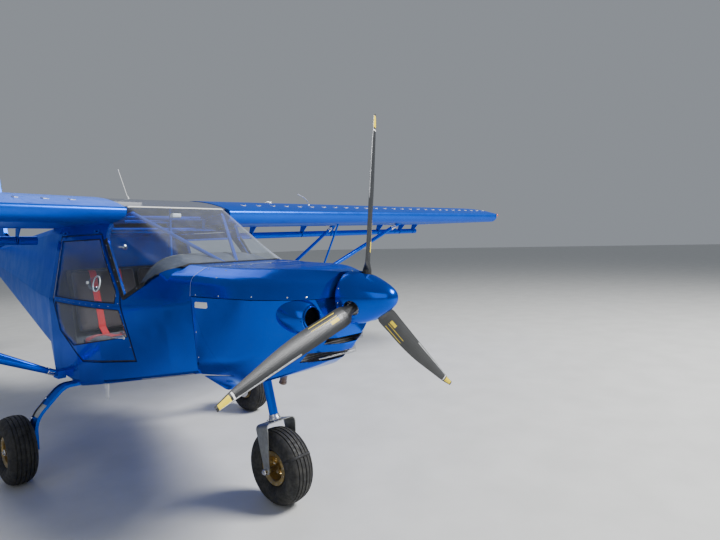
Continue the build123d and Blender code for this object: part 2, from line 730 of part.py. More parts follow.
def gear_leaf():
    points = [(-LEAF_FOOT_X, AXLE_Z - 22), (-LEAF_FOOT_X, LEAF_KNEE_Z), (-LEAF_BEND_X, LEAF_TOP_Z),
              (LEAF_BEND_X, LEAF_TOP_Z), (LEAF_FOOT_X, LEAF_KNEE_Z), (LEAF_FOOT_X, AXLE_Z - 22)]
    path = FilletPolyline(*points, radius=[170, 110, 110, 170])
    plane = Plane(origin=(0, at(0), 0), x_dir=(1, 0, 0), z_dir=(0, -1, 0))
    start = plane * path
    foot = Plane(origin=start @ 0, x_dir=(0, 1, 0), z_dir=start % 0)
    return sweep(foot * Rectangle(LEAF_WIDTH, LEAF_THICKNESS), path=start)


def main_axle(side):
    inner = side * (LEAF_FOOT_X + LEAF_THICKNESS / 2)
    outer = side * (TRACK / 2 + 52)
    bar = across(0, AXLE_Z, MAIN_AXLE_DIAMETER, min(inner, outer), max(inner, outer))
    plate_end = inner + side * 6
    return bar + across(0, AXLE_Z, 80, min(inner, plate_end), max(inner, plate_end))


def leg_frame():
    """Frame on the steering axis at the fork crown, its Z up the leg."""
    lean = math.radians(LEG_LEAN)
    up = (0, math.sin(lean), math.cos(lean))
    return Plane(origin=(0, at(LEG_REACH_Y), LEG_REACH_Z), x_dir=(1, 0, 0), z_dir=up)


def nose_leg():
    top = (0, leg_y(LEG_TOP_Z), LEG_TOP_Z)
    tube = rod((0, LEG_REACH_Y, LEG_REACH_Z), top, LEG_DIAMETER)
    bore = rod((0, LEG_REACH_Y, LEG_REACH_Z), top, LEG_DIAMETER - 8)
    return tube - bore


def nose_fork():
    """Bent plate: a crown across the leg's foot with a tapering cheek down each side to the axle."""
    outer = FORK_GAP / 2 + FORK_PLATE
    plane = leg_frame()
    axle_point = Vector(0, at(-WHEELBASE), AXLE_Z)
    local = plane.to_local_coords(axle_point)
    drop = local.Z
    cross = RectangleRounded(2 * outer, 2 * outer, FORK_CORNER) - RectangleRounded(
        FORK_GAP, FORK_GAP, FORK_CORNER - FORK_PLATE)
    depth = Plane(origin=(0, 200, -outer), x_dir=(1, 0, 0), z_dir=(0, -1, 0)) * cross
    hoop = extrude(depth, amount=400)
    hoop = hoop & (Pos(0, 0, -outer / 2) * Box(3 * outer, 600, outer))
    cheeks = Pos(-FORK_GAP / 2 - FORK_PLATE / 2, 0, -outer + drop / 2) * Box(FORK_PLATE, 600, -drop)
    cheeks += Pos(FORK_GAP / 2 + FORK_PLATE / 2, 0, -outer + drop / 2) * Box(FORK_PLATE, 600, -drop)
    bar = hoop + cheeks
    half_top = FORK_CHORD_TOP / 2
    half_low = FORK_CHORD_AXLE / 2
    outline = Polyline((-half_top, 5), (half_top, 5), (half_top, -40), (local.Y + half_low, drop),
                       (local.Y - half_low, drop), (-half_top, -40), close=True)
    side = extrude(side_plane(-300) * make_face(outline), amount=600)
    foot = Pos(0, local.Y, drop) * (Rot(0, 90, 0) * Cylinder(half_low, 600))
    fork = bar & (side + foot)
    fork -= Pos(0, local.Y, drop) * (Rot(0, 90, 0) * Cylinder(NOSE_AXLE_DIAMETER / 2 + BEARING_GAP, 600))
    return plane.location * fork


def nose_axle():
    reach = FORK_GAP / 2 + FORK_PLATE + TOW_PIN + 10
    bar = across(-WHEELBASE, AXLE_Z, NOSE_AXLE_DIAMETER, -reach, reach)
    for side in (-1, 1):
        inner = side * (RIM_WIDTH / 2 - 20)
        outer = side * (FORK_GAP / 2)
        bar += across(-WHEELBASE, AXLE_Z, NOSE_AXLE_DIAMETER + 12, min(inner, outer), max(inner, outer))
        near = side * (FORK_GAP / 2 + FORK_PLATE)
        far = near + side * 10
        bar += across(-WHEELBASE, AXLE_Z, NOSE_AXLE_DIAMETER + 10, min(near, far), max(near, far))
    return bar


# Struts of the port side: lower and upper ends as (x, distance aft, height), tube diameter
STRUT_ROOT = (562, 120, 600)
STRUTS = [
    (STRUT_ROOT, (2690, -270, 1602), 38),
    ((562, 150, 596), (2360, 380, 1606), 32),
    ((1700, -88, 1136), (1790, -250, 1592), 18),
    ((1700, 296, 1235), (1740, -96, 1155), 16),
]
TIE_X = 2640
TIE_Y = -270
TIE_Z = 1530
TIE_BORE = 16
TIE_PLATE = 6
TIE_FOOT = 18


def tie_down():
    """Lug under the front strut's upper end with a bore for a mooring shackle."""
    half = TIE_PLATE / 2
    plate = block(TIE_X - TIE_FOOT, TIE_X + TIE_FOOT, TIE_Y - half, TIE_Y + half, TIE_Z, 1640)
    place = Pos(TIE_X, at(TIE_Y), TIE_Z)
    foot = place * (Rot(90, 0, 0) * Cylinder(TIE_FOOT, TIE_PLATE))
    hole = place * (Rot(90, 0, 0) * Cylinder(TIE_BORE / 2, 40))
    return plate + foot - hole


def strut_bar(number, grow):
    """One strut, run a little past its upper end into the wing, its skin grown by an amount."""
    low, high, size = STRUTS[number]
    over = 1.03 if high[2] > 1500 else 1
    end = tuple(a + (b - a) * over for a, b in zip(low, high))
    return rod(low, end, size + 2 * grow)


def struts():
    front, rear, jury, link = [strut_bar(number, 0) for number in range(4)]
    clamp = block(540, 590, 90, 180, 575, 625)
    room = strut_bar(0, BEARING_GAP)
    parts = [
        front + clamp,
        rear - room - block(540 - 1, 590 + 1, 90 - 1, 180 + 1, 575 - 1, 625 + 1),
        jury - room,
        link - room - strut_bar(1, BEARING_GAP) - strut_bar(2, BEARING_GAP),
        tie_down() - room,
    ]
    near = wing_slab(-BEARING_GAP, ROOT_HALF, 4000) + cabin_hull(-BEARING_GAP)
    solids = []
    for part in parts:
        solids.append(max((part - near).solids(), key=lambda solid: solid.volume))
    return Compound(children=solids)


def tail_cone():
    outer = body(TAIL_BODY, TAIL_RADII)
    inner = body(TAIL_BODY, TAIL_RADII, WALL_TAIL)
    trim = block(-600, 600, REAR_FRAME_Y + WALL_TAIL, TAIL_END_Y - WALL_TAIL, 400, 1700)
    return outer - (inner & trim) - wing_envelope()


def tailplane():
    length = TAIL_HINGE_Y - ELEVATOR_RADIUS - SWING_GAP - TAILPLANE_LE_Y - 18
    start = (-TAILPLANE_HALF, at(TAILPLANE_LE_Y + 18), TAILPLANE_Z)
    plane = Plane(origin=start, x_dir=(0, 1, 0), z_dir=(1, 0, 0))
    section = teardrop(18, 30, length + 60)
    outer = extrude(plane * section, amount=2 * TAILPLANE_HALF)
    inner = extrude(plane.offset(3) * teardrop(18 - WALL_SURFACE, 30 - WALL_SURFACE, length + 60),
                    amount=2 * TAILPLANE_HALF - 6)
    rear = TAIL_HINGE_Y - ELEVATOR_RADIUS - SWING_GAP
    ahead = block(-1400, 1400, 3000, rear, 1400, 1700)
    web = block(-1400, 1400, 3000, rear - 3, 1400, 1700)
    panel = (outer & ahead) - (inner & web)
    for x in TAIL_BRACKETS:
        for side in (-1, 1):
            panel += tail_bracket(side * x)
    foot = block(-30, 30, 3380, rear - 40, 1440, TAILPLANE_Z - 15)
    return panel + (foot - body(TAIL_BODY, TAIL_RADII, -0.01))


def tail_bracket(x):
    root, end = TAIL_HINGE_Y - 36, TAIL_HINGE_Y + 9
    outline = [(root, TAILPLANE_Z - 18), (root, TAILPLANE_Z + 18), (end, TAILPLANE_Z + 9), (end, TAILPLANE_Z - 9)]
    plate = side_prism(outline, x - 3, x + 3)
    return plate + across(TAIL_HINGE_Y, TAILPLANE_Z, PIN_DIAMETER, x - 22, x + 22)


def elevator():
    length = ELEVATOR_CHORD - ELEVATOR_RADIUS - 3
    halves = []
    for side in (-1, 1):
        low, high = (50, TAILPLANE_HALF) if side > 0 else (-TAILPLANE_HALF, -50)
        plane = Plane(origin=(low, at(TAIL_HINGE_Y), TAILPLANE_Z), x_dir=(0, 1, 0), z_dir=(1, 0, 0))
        half = surface(ELEVATOR_RADIUS, 3, length, WALL_SURFACE, plane, high - low)
        solid = extrude(plane * teardrop(ELEVATOR_RADIUS, 3, length), amount=high - low)
        for x in TAIL_BRACKETS:
            middle = side * x
            front, reach, bore = TAIL_HINGE_Y - 40, 9 + RIB, PIN_DIAMETER + 2 * BEARING_GAP
            half += solid & block(middle - reach, middle + reach, front, front + 80, 1470, 1570)
            half -= block(middle - 9, middle + 9, front, front + 53, 1470, 1570)
            half -= across(TAIL_HINGE_Y, TAILPLANE_Z, bore, middle - 30, middle + 30)
        halves.append(half)
    tube = across(TAIL_HINGE_Y, TAILPLANE_Z, TORQUE_TUBE, -52, 52)
    both = halves[0] + halves[1] + tube
    swing = math.tan(math.radians(RUDDER_SWING + 4))
    notch = [(-50, TAIL_HINGE_Y + 24), (50, TAIL_HINGE_Y + 24), (60 + 340 * swing, TAIL_HINGE_Y + 360),
             (-60 - 340 * swing, TAIL_HINGE_Y + 360)]
    line = Polyline(*[(x, at(y)) for x, y in notch], close=True)
    return both - extrude(Plane.XY.offset(1400) * make_face(line), amount=250)


def fin():
    outer = side_prism(FIN_OUTLINE, -FIN_HALF, FIN_HALF)
    inner = side_prism(FIN_ROOM, -FIN_HALF + WALL_SURFACE, FIN_HALF - WALL_SURFACE)
    shape = outer - inner - body(TAIL_BODY, TAIL_RADII, -0.01)
    for z in RUDDER_BRACKETS[1:]:
        shape += rudder_bracket(z)
    return shape


def rudder_bracket(z):
    start = TAIL_END_Y if z < 1500 else FIN_END_Y
    return block(-RUDDER_PLATE / 2, RUDDER_PLATE / 2, start, RUDDER_HINGE_Y + 9, z - 3, z + 3) + (
        Pos(0, at(RUDDER_HINGE_Y), z) * Cylinder(PIN_DIAMETER / 2, 44))


def rudder():
    length = RUDDER_CHORD - RUDDER_RADIUS - 3
    plane = Plane(origin=(0, at(RUDDER_HINGE_Y), RUDDER_BOTTOM_Z), x_dir=(0, 1, 0), z_dir=(0, 0, 1))
    panel = surface(RUDDER_RADIUS, 3, length, WALL_SURFACE, plane, FIN_TOP_Z + 40 - RUDDER_BOTTOM_Z)
    solid = extrude(plane * teardrop(RUDDER_RADIUS, 3, length), amount=FIN_TOP_Z + 40 - RUDDER_BOTTOM_Z)
    for z in RUDDER_BRACKETS:
        front = RUDDER_HINGE_Y - 40
        panel += solid & block(-40, 40, front, front + 80, z - 9 - RIB, z + 9 + RIB)
        panel -= block(-40, 40, front, RUDDER_HINGE_Y + RUDDER_SLOT, z - 9, z + 9)
        panel -= Pos(0, at(RUDDER_HINGE_Y), z) * Cylinder(PIN_DIAMETER / 2 + BEARING_GAP, 60)
    return panel


def cabin_tubes():
    """Roof beams between the wing roots, their posts, and the braces behind the windscreen."""
    reach = ROOT_HALF
    parts = []
    for y in ROOF_BEAMS:
        parts.append(across(y, 1640, 36, -reach, reach))
        parts.append(across(y, 1560, 28, -460, 460))
        for side in (-1, 1):
            parts.append(rod((side * 335, y, 1560), (side * 335, y, 1640), 28))
    for side in (-1, 1):
        parts.append(rod((0, -1180, 1284), (side * 318, -548, 1650), 22))
        parts.append(rod((side * 318, -548, 1650), (side * 318, ROOF_BEAMS[0], 1640), 22))
    frame = parts[0]
    for part in parts[1:]:
        frame += part
    return frame & tube_space()


def tube_space():
    return cabin_hull(WALL_CABIN) + block(-ROOT_HALF, ROOT_HALF, SCREEN_TOP_Y - 30, REAR_FRAME_Y, 1550, 1690)


def instrument_panel():
    width, low, crest = 520, 985, 1300

    def hood_face(half, foot, belt, top):
        sides = Polyline((-half, belt), (-half, foot), (half, foot), (half, belt))
        return make_face([sides, ThreePointArc((half, belt), (0, top), (-half, belt))])

    outline = hood_face(width, low, 1150, crest)
    inner = hood_face(width - 8, low - 5, 1146, crest - 8)
    hood = extrude(station(-860) * outline, amount=250) - extrude(station(-885) * inner, amount=250)
    below = block(-600, 600, -1200, -895, 900, 1140)
    return (hood - below) & cabin_hull(WALL_CABIN)


def seat_frame():
    floor_z = 600
    reach = SEAT_HALF_GAP + SEAT_WIDTH + 10
    pan = block(-reach, reach, -400, 72, 748, 756)
    rails = block(-reach, -reach + 30, -400, 60, 560, 748) + block(reach - 30, reach, -400, 60, 560, 748)
    board = Box(2 * reach, 8, 560, align=(Align.CENTER, Align.MIN, Align.MIN))
    back = Pos(0, at(66), 752) * (Rot(-SEAT_LEAN, 0, 0) * board)
    return (pan + rails + back) & cabin_hull(WALL_CABIN)


def seat_cushions():
    pads = []
    for side in (-1, 1):
        middle = side * (SEAT_HALF_GAP + SEAT_WIDTH / 2)
        pad = Pos(middle, at(-180), 756 + BEARING_GAP + 45) * Box(SEAT_WIDTH, 430, 90)
        pads.append(fillet(pad.edges(), 22))
    return Compound(children=pads)


def seat_backs():
    pads = []
    for side in (-1, 1):
        middle = side * (SEAT_HALF_GAP + SEAT_WIDTH / 2)
        pad = Pos(0, -37 - BEARING_GAP, 112 + 215) * Box(SEAT_WIDTH - 10, 74, 430)
        pad = fillet(pad.edges(), 20)
        pads.append(Pos(middle, at(66), 752) * (Rot(-SEAT_LEAN, 0, 0) * pad))
    return Compound(children=pads)


def control_stick():
    foot = (0, -470, 592)
    knee = (0, -520, 800)
    stick = rod(foot, knee, 24)
    stick += rod(knee, (0, -500, 990), 22) + rod((0, -505, 930), (0, -496, 1030), 34)
    return stick & cabin_hull(WALL_CABIN)


def antennas():
    whip = rod((0, 170, 1725), (0, 178, 1773), 26) + rod((0, 175, 1755), (0, 350, 2040), 5)
    whip -= roof_section(-0.2, 100, 250)
    blade_line = [(-500, 640), (-440, 640), (-452, 520), (-482, 520)]
    fin_blade = side_prism(blade_line, -504, -496)
    fin_blade -= cabin_hull(-0.2)
    return Compound(children=[whip, fin_blade])


def radiator():
    core = block(-195, 195, -1885, -1840, 800, 940)
    return core & cowl_body(COWL_LOW, COWL_WALL)


def muffler(grow=0.0):
    return across(-1700, 905, 110 + 2 * grow, -200 - grow, 120 + grow)


def exhaust_pipe():
    return muffler() + rod(*TAILPIPE, TAILPIPE_DIAMETER)


def build():
    os.makedirs("parts", exist_ok=True)
    port_wing = wing()
    port_flap = flaperon()
    port_struts = struts()
    brackets = [flap_bracket(x) - wing_slab(-0.1, ROOT_HALF, 4300) for x in FLAP_BRACKETS]
    spread = TRACK / 2
    pieces = {
        "cabin_shell": cabin_shell(),
        "firewall": firewall(),
        "cowl_upper": cowl_upper(),
        "cowl_lower": cowl_lower(),
        "engine_block": engine_block(),
        "radiator": radiator(),
        "exhaust_pipe": exhaust_pipe(),
        "windscreen": windscreen(),
        "roof_glazing": roof_sheet(SCREEN_TOP_Y + 1, DECK_START_Y - 2, GLASS),
        "roof_deck": roof_deck(),
        "cabin_tubes": cabin_tubes(),
        "instrument_panel": instrument_panel(),
        "seat_frame": seat_frame(),
        "seat_cushions": seat_cushions(),
        "seat_backs": seat_backs(),
        "control_stick": control_stick(),
        "tail_cone": tail_cone() + rudder_bracket(RUDDER_BRACKETS[0]),
        "tailplane": tailplane(),
        "elevator": elevator(),
        "fin": fin(),
        "rudder": rudder(),
        "wing_port": port_wing,
        "wing_starboard": mirrored(port_wing),
        "flaperon_port": port_flap,
        "flaperon_starboard": mirrored(port_flap),
        "flaperon_brackets": Compound(children=brackets + [mirrored(b) for b in brackets]),
        "struts_port": port_struts,
        "struts_starboard": mirrored(port_struts),
        "gear_leaf": gear_leaf(),
        "main_axles": Compound(children=[main_axle(1), main_axle(-1)]),
        "tyre_port": wheel_place(spread, 0) * tyre(),
        "rim_port": wheel_place(spread, 0) * rim(MAIN_AXLE_DIAMETER),
        "tyre_starboard": wheel_place(-spread, 0) * tyre(),
        "rim_starboard": wheel_place(-spread, 0) * rim(MAIN_AXLE_DIAMETER),
        "tyre_nose": wheel_place(0, -WHEELBASE) * tyre(),
        "rim_nose": wheel_place(0, -WHEELBASE) * rim(NOSE_AXLE_DIAMETER),
        "nose_leg": nose_leg(),
        "nose_fork": nose_fork(),
        "nose_axle": nose_axle(),
        "spinner": spinner(),
        "prop_hub": prop_hub(),
        "propeller_blades": propeller_blades(),
        "door_port": door_frame(1),
        "door_starboard": door_frame(-1),
        "door_glass_port": door_glass(1),
        "door_glass_starboard": door_glass(-1),
        "antennas": antennas(),
    }
    for name, shape in pieces.items():
        save(name, shape)


build()
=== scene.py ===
import math
import bmesh
import bpy
from mathutils import Matrix, Vector
from mathutils.bvhtree import BVHTree


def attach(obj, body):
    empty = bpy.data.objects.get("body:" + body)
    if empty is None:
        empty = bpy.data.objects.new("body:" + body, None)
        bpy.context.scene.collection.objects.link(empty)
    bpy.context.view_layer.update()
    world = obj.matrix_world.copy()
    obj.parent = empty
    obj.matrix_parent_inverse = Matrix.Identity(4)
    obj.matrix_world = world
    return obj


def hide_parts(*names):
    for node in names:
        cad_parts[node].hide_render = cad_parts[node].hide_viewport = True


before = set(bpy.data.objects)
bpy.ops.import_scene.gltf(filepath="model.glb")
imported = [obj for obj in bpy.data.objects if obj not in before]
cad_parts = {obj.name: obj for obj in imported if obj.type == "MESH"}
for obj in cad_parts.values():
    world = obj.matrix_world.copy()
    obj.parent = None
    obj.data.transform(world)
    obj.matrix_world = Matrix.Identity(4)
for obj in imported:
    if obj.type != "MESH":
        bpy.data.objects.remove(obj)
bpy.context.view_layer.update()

# Places are written as X, distance aft of the main axle and height, in mm
MAIN = -0.9546
AXLE_Z = 210
HUB = (0, -2154, 1180)
THRUST_TILT = math.radians(-2.17)
BLADE_TURN = math.radians(9.1)
WING_RISE = math.tan(math.radians(0.62))
LENS_PX, FRAME_PX = 521.8, 720      # focal length and width of the picture, in pixels
SENSOR = 36             # width of the camera's sensor, in mm
CAMERA_AT = (-1.795, MAIN - 3.733, 1.443)
CAMERA_YAW, CAMERA_PITCH, CAMERA_ROLL = 48.111, -3.265, -1.716
SIDES = ((1, "port"), (-1, "starboard"))
PORT, AFT, UP = Vector((1, 0, 0)), Vector((0, 1, 0)), Vector((0, 0, 1))
DOWN, INWARD = Vector((0, 0, -1)), Vector((-1, 0, 0))       # inward on the port side
BESIDE_COWL, BESIDE = 600, 700          # X from which lines are cast inward
OVER_COWL, OVER_ROOF = 1500, 1850       # heights from which lines are dropped


def at(x, aft, z):
    return Vector((x / 1000, MAIN + aft / 1000, z / 1000))


# Finishes -----------------------------

def feed(tree, node, sockets):
    """Gives sockets, by name or number, a value or a link from what feeds them."""
    for key, value in sockets.items():
        if isinstance(value, bpy.types.NodeSocket):
            tree.links.new(value, node.inputs[key])
        else:
            node.inputs[key].default_value = (*value, 1) if node.inputs[key].type == "RGBA" else value
    return node


def add(tree, kind, sockets, **settings):
    """New node of a kind, with its sockets fed and its own settings made."""
    node = tree.nodes.new(f"ShaderNode{kind}")
    for key, value in settings.items():
        setattr(node, key, value)
    return feed(tree, node, sockets)


def new_finish(name, colour, metallic, roughness, coat=0.0, sheen=0.0):
    mat = bpy.data.materials.new(name)
    mat.use_nodes = True
    mat.diffuse_color = (*colour, 1)
    tree = mat.node_tree
    return mat, tree, feed(tree, tree.nodes["Principled BSDF"], {
        "Base Color": colour, "Metallic": metallic, "Roughness": roughness, "Coat Weight": coat,
        "Coat Roughness": 0.06, "Sheen Weight": sheen})


def place_of(tree, stretch=(1, 1, 1)):
    coords = add(tree, "TexCoord", {})
    return add(tree, "Mapping", {"Scale": stretch, "Vector": coords.outputs["Object"]}).outputs["Vector"]


def grain(tree, scale, detail=3, stretch=(1, 1, 1)):
    return add(tree, "TexNoise", {"Scale": scale, "Detail": detail, "Vector": place_of(tree, stretch)}).outputs["Fac"]


def spread(tree, value, low, high, start=0.35, end=0.65):
    return add(tree, "MapRange", {"Value": value, "From Min": start, "From Max": end, "To Min": low,
                                  "To Max": high}).outputs["Result"]


def reckon(tree, operation, first, second):
    return add(tree, "Math", {0: first, 1: second}, operation=operation).outputs[0]


def two_tone(tree, factor, first, second):
    return add(tree, "Mix", {0: factor, 6: first, 7: second}, data_type="RGBA").outputs[2]


def dress(tree, shader, colour, roughness, height, strength, distance):
    """Links what varies over a finish: its colour, its gloss and its relief."""
    bump = add(tree, "Bump", {"Strength": strength, "Distance": distance, "Height": height})
    feed(tree, shader, {"Base Color": colour, "Roughness": roughness, "Normal": bump.outputs["Normal"]})


def paint_finish(name, light, dark, rough=(0.12, 0.26), coat=0.15, wave=0.0, metallic=0.85, gleam=(1, 1, 1)):
    """Sprayed gloss paint: broad fade, dust in the low spots, orange peel and, on sheet, slack between rivets."""
    mat, tree, shader = new_finish(name, light, metallic, rough[0], coat)
    feed(tree, shader, {"Specular Tint": gleam})
    tone = two_tone(tree, spread(tree, grain(tree, 2.3, 4), 0, 1, 0.3, 0.7), light, dark)
    dust = spread(tree, grain(tree, 60, 6), 0, 0.03, 0.52, 0.78)
    peel = reckon(tree, "MULTIPLY", grain(tree, 420, 1), 0.03)
    if wave:
        peel = reckon(tree, "ADD", peel, reckon(tree, "MULTIPLY", grain(tree, 6, 1, (1, 0.6, 1)), wave))
    dress(tree, shader, two_tone(tree, dust, tone, (0.42, 0.44, 0.46)), spread(tree, grain(tree, 9, 5), *rough),
          peel, 0.5, 0.004)
    return mat


def clear_finish(name, tint, share):
    """Clear sheet: mostly see-through, with reflections that grow at a slant and faint wipe marks."""
    mat, tree, shader = new_finish(name, tint, 0, 0.04)
    feed(tree, shader, {"IOR": 1.49})
    seen = add(tree, "BsdfTransparent", {0: tint})
    rise = reckon(tree, "POWER", add(tree, "LayerWeight", {"Blend": 0.5}).outputs["Facing"], 5)
    haze = spread(tree, grain(tree, 14, 6, (1, 0.3, 1)), 0, 0.02, 0.5, 0.8)
    amount = reckon(tree, "ADD", reckon(tree, "ADD", reckon(tree, "MULTIPLY", rise, 0.45), share), haze)
    feed(tree, shader, {"Roughness": spread(tree, grain(tree, 40, 4), 0.02, 0.09)})
    mix = add(tree, "MixShader", {0: amount, 1: seen.outputs[0], 2: shader.outputs[0]})
    feed(tree, tree.nodes["Material Output"], {"Surface": mix.outputs[0]})
    return mat


def metal_finish(name, light, dark, rough, brush, metallic=1.0, stretch=(1, 1, 14)):
    mat, tree, shader = new_finish(name, light, metallic, rough[0])
    lines = grain(tree, brush, 4, stretch)
    dress(tree, shader, two_tone(tree, spread(tree, grain(tree, 24, 5), 0, 1), light, dark),
          spread(tree, lines, *rough), lines, 0.25, 0.0006)
    return mat


def rubber_finish(name, base, dust):
    """Ribbed rubber, dusty near the ground and dull all over."""
    mat, tree, shader = new_finish(name, base, 0, 0.75)
    patches = spread(tree, grain(tree, 26, 6), 0, 0.5, 0.42, 0.72)
    dress(tree, shader, two_tone(tree, patches, base, dust), spread(tree, grain(tree, 70, 4), 0.62, 0.9),
          grain(tree, 320, 4), 0.35, 0.0012)
    return mat


def weave_finish(name, first, second, pitch, sheen=0.4, rough=0.8, coat=0.0):
    """Woven cloth or cloth laid in resin: two crossed sets of threads, uneven and a little worn."""
    mat, tree, shader = new_finish(name, first, 0, rough, coat, sheen)
    threads = []
    for turn in ((0.785, 0.3, 0.785), (-0.785, 0.3, 2.356)):
        spun = add(tree, "Mapping", {"Rotation": turn, "Vector": place_of(tree)})
        wave = add(tree, "TexWave", {"Scale": pitch, "Distortion": 0.6, "Detail": 1, "Vector": spun.outputs[0]})
        threads.append(wave.outputs["Fac"])
    cloth = reckon(tree, "MULTIPLY", *threads)
    worn = spread(tree, grain(tree, 11, 5), 0, 0.6, 0.4, 0.75)
    dress(tree, shader, two_tone(tree, reckon(tree, "MAXIMUM", worn, cloth), first, second),
          spread(tree, cloth, rough, rough * 0.8, 0, 1), cloth, 0.3, 0.0006)
    return mat


def moulded_finish(name, base, second, rough=(0.45, 0.65), pebble=240):
    mat, tree, shader = new_finish(name, base, 0, rough[0])
    dress(tree, shader, two_tone(tree, spread(tree, grain(tree, 16, 5), 0, 1), base, second),
          spread(tree, grain(tree, 30, 4), *rough), grain(tree, pebble, 2), 0.3, 0.0008)
    return mat


def heat_finish(name):
    """Steel pipe browned and blued by heat."""
    mat, tree, shader = new_finish(name, (0.3, 0.26, 0.22), 0.9, 0.4)
    browned = two_tone(tree, spread(tree, grain(tree, 12, 5), 0, 1), (0.30, 0.24, 0.18), (0.12, 0.10, 0.14))
    rusted = two_tone(tree, spread(tree, grain(tree, 40, 6), 0, 0.7, 0.5, 0.7), browned, (0.09, 0.05, 0.03))
    dress(tree, shader, rusted, spread(tree, grain(tree, 50, 4), 0.3, 0.6), grain(tree, 180, 4), 0.3, 0.001)
    return mat


def core_finish(name):
    """Radiator core: fine upright fins between flat tubes, the gaps between them painted near-black as shade."""
    mat, tree, shader = new_finish(name, (0.2, 0.2, 0.21), 0.8, 0.5)
    fins, tubes = (add(tree, "TexWave", {"Scale": pitch, "Vector": place_of(tree)}, bands_direction=way).outputs["Fac"]
                   for way, pitch in (("X", 90), ("Z", 28)))
    depth = reckon(tree, "MAXIMUM", reckon(tree, "MULTIPLY", fins, 0.7), tubes)
    # The near-black between fins and tubes is painted shade in the core's gaps; the same pattern gives the fins' relief
    dress(tree, shader, two_tone(tree, depth, (0.015, 0.015, 0.016), (0.35, 0.35, 0.36)),
          spread(tree, grain(tree, 60, 4), 0.4, 0.7), depth, 0.8, 0.002)
    return mat


BLUE, BLUE_DARK, BLUE_GLEAM = (0.001, 0.085, 0.62), (0.001, 0.062, 0.48), (0.2, 0.5, 1)
gloss_blue = paint_finish("gloss_blue", BLUE, BLUE_DARK, coat=0.1, gleam=BLUE_GLEAM)
sheet_blue = paint_finish("sheet_blue", (0.001, 0.10, 0.68), (0.001, 0.085, 0.62), (0.29, 0.36), 0, 0.12, 0.65,
                          BLUE_GLEAM)
tube_blue = paint_finish("tube_blue", (0.002, 0.11, 0.68), BLUE, (0.28, 0.4), 0, 0, 0.65, BLUE_GLEAM)
# Near-black blue for the cowl's seams: painted shadow for the shade inside the gaps between panels
seam_shadow_blue = paint_finish("seam_shadow_blue", (0.001, 0.014, 0.09), (0.001, 0.01, 0.06), (0.3, 0.45), 0, gleam=BLUE_GLEAM)
white_paint = paint_finish("white_paint", (0.82, 0.82, 0.80), (0.74, 0.74, 0.71), (0.25, 0.4), 0.3, metallic=0)
yellow_mark = paint_finish("yellow_mark", (0.92, 0.70, 0.0), (0.86, 0.62, 0.0), (0.4, 0.55), 0, metallic=0)
white_mark = paint_finish("white_mark", (0.86, 0.86, 0.84), (0.78, 0.78, 0.76), (0.3, 0.45), 0.2, metallic=0)
red_lens = paint_finish("red_lens", (0.6, 0.02, 0.015), (0.5, 0.015, 0.01), (0.05, 0.1), 1, metallic=0)
green_lens = paint_finish("green_lens", (0.01, 0.4, 0.12), (0.01, 0.33, 0.1), (0.05, 0.1), 1, metallic=0)
screen_clear = clear_finish("screen_clear", (0.90, 0.93, 0.96), 0.012)
roof_smoked = clear_finish("roof_smoked", (0.30, 0.33, 0.42), 0.25)
blade_fibre = weave_finish("blade_fibre", (0.011, 0.012, 0.014), (0.028, 0.03, 0.033), 120, 0, 0.42, 0.12)
seat_cloth = weave_finish("seat_cloth", (0.040, 0.024, 0.018), (0.075, 0.05, 0.038), 160)
seat_side = weave_finish("seat_side", (0.20, 0.15, 0.10), (0.28, 0.21, 0.15), 160)
webbing = weave_finish("webbing", (0.72, 0.025, 0.02), (0.55, 0.018, 0.016), 220, 0.3, 0.7)
tyre_rubber = rubber_finish("tyre_rubber", (0.013, 0.013, 0.013), (0.06, 0.057, 0.048))
seal_rubber = rubber_finish("seal_rubber", (0.012, 0.012, 0.013), (0.03, 0.03, 0.03))
gold_rim = metal_finish("gold_rim", (0.47, 0.34, 0.14), (0.34, 0.25, 0.10), (0.3, 0.44), 120, 0.85)
bare_alloy = metal_finish("bare_alloy", (0.62, 0.63, 0.65), (0.46, 0.47, 0.49), (0.25, 0.45), 60)
grey_plate = metal_finish("grey_plate", (0.34, 0.35, 0.34), (0.25, 0.255, 0.25), (0.35, 0.5), 60, 0.7)
bright_metal = metal_finish("bright_metal", (0.8, 0.8, 0.8), (0.68, 0.68, 0.7), (0.12, 0.24), 90)
cast_alloy = metal_finish("cast_alloy", (0.12, 0.125, 0.13), (0.07, 0.07, 0.075), (0.5, 0.7), 90, 0.7, (1, 1, 1))
heat_steel = heat_finish("heat_steel")
radiator_core = core_finish("radiator_core")
black_trim = moulded_finish("black_trim", (0.02, 0.02, 0.023), (0.035, 0.035, 0.038))
glare_trim = moulded_finish("glare_trim", (0.055, 0.062, 0.085), (0.08, 0.09, 0.12), (0.55, 0.75), 320)
dial_face = moulded_finish("dial_face", (0.008, 0.008, 0.009), (0.02, 0.02, 0.022), (0.2, 0.3))

# Each CAD node wears its finish in its object's own material slots
for finish, names in (
        (gloss_blue, "cabin_shell cowl_upper cowl_lower door_port door_starboard spinner"),
        (sheet_blue, "wing_port wing_starboard flaperon_port flaperon_starboard flaperon_brackets tail_cone tailplane"),
        (sheet_blue, "elevator fin rudder roof_deck struts_port struts_starboard gear_leaf nose_leg"),
        (tube_blue, "cabin_tubes"), (screen_clear, "windscreen door_glass_port door_glass_starboard"),
        (roof_smoked, "roof_glazing"), (blade_fibre, "propeller_blades"), (bare_alloy, "firewall prop_hub"),
        (grey_plate, "nose_fork"), (bright_metal, "main_axles nose_axle"), (cast_alloy, "engine_block"),
        (heat_steel, "exhaust_pipe"), (radiator_core, "radiator"), (glare_trim, "instrument_panel"),
        (black_trim, "control_stick seat_frame"), (gold_rim, "rim_port rim_starboard rim_nose"),
        (white_paint, "antennas")):
    for name in names.split():
        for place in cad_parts[name].material_slots:
            place.link = "OBJECT"
            place.material = finish


# Shapes -------------------------------

MERGE = 2e-6            # metres within which points become one
DOME_REACH, DOME_SIZE = 0.6, 0.55       # a bar's domed end, as shares of its radius
STUD_REACH = 0.5        # metres from a rivet row to its sheet, at most
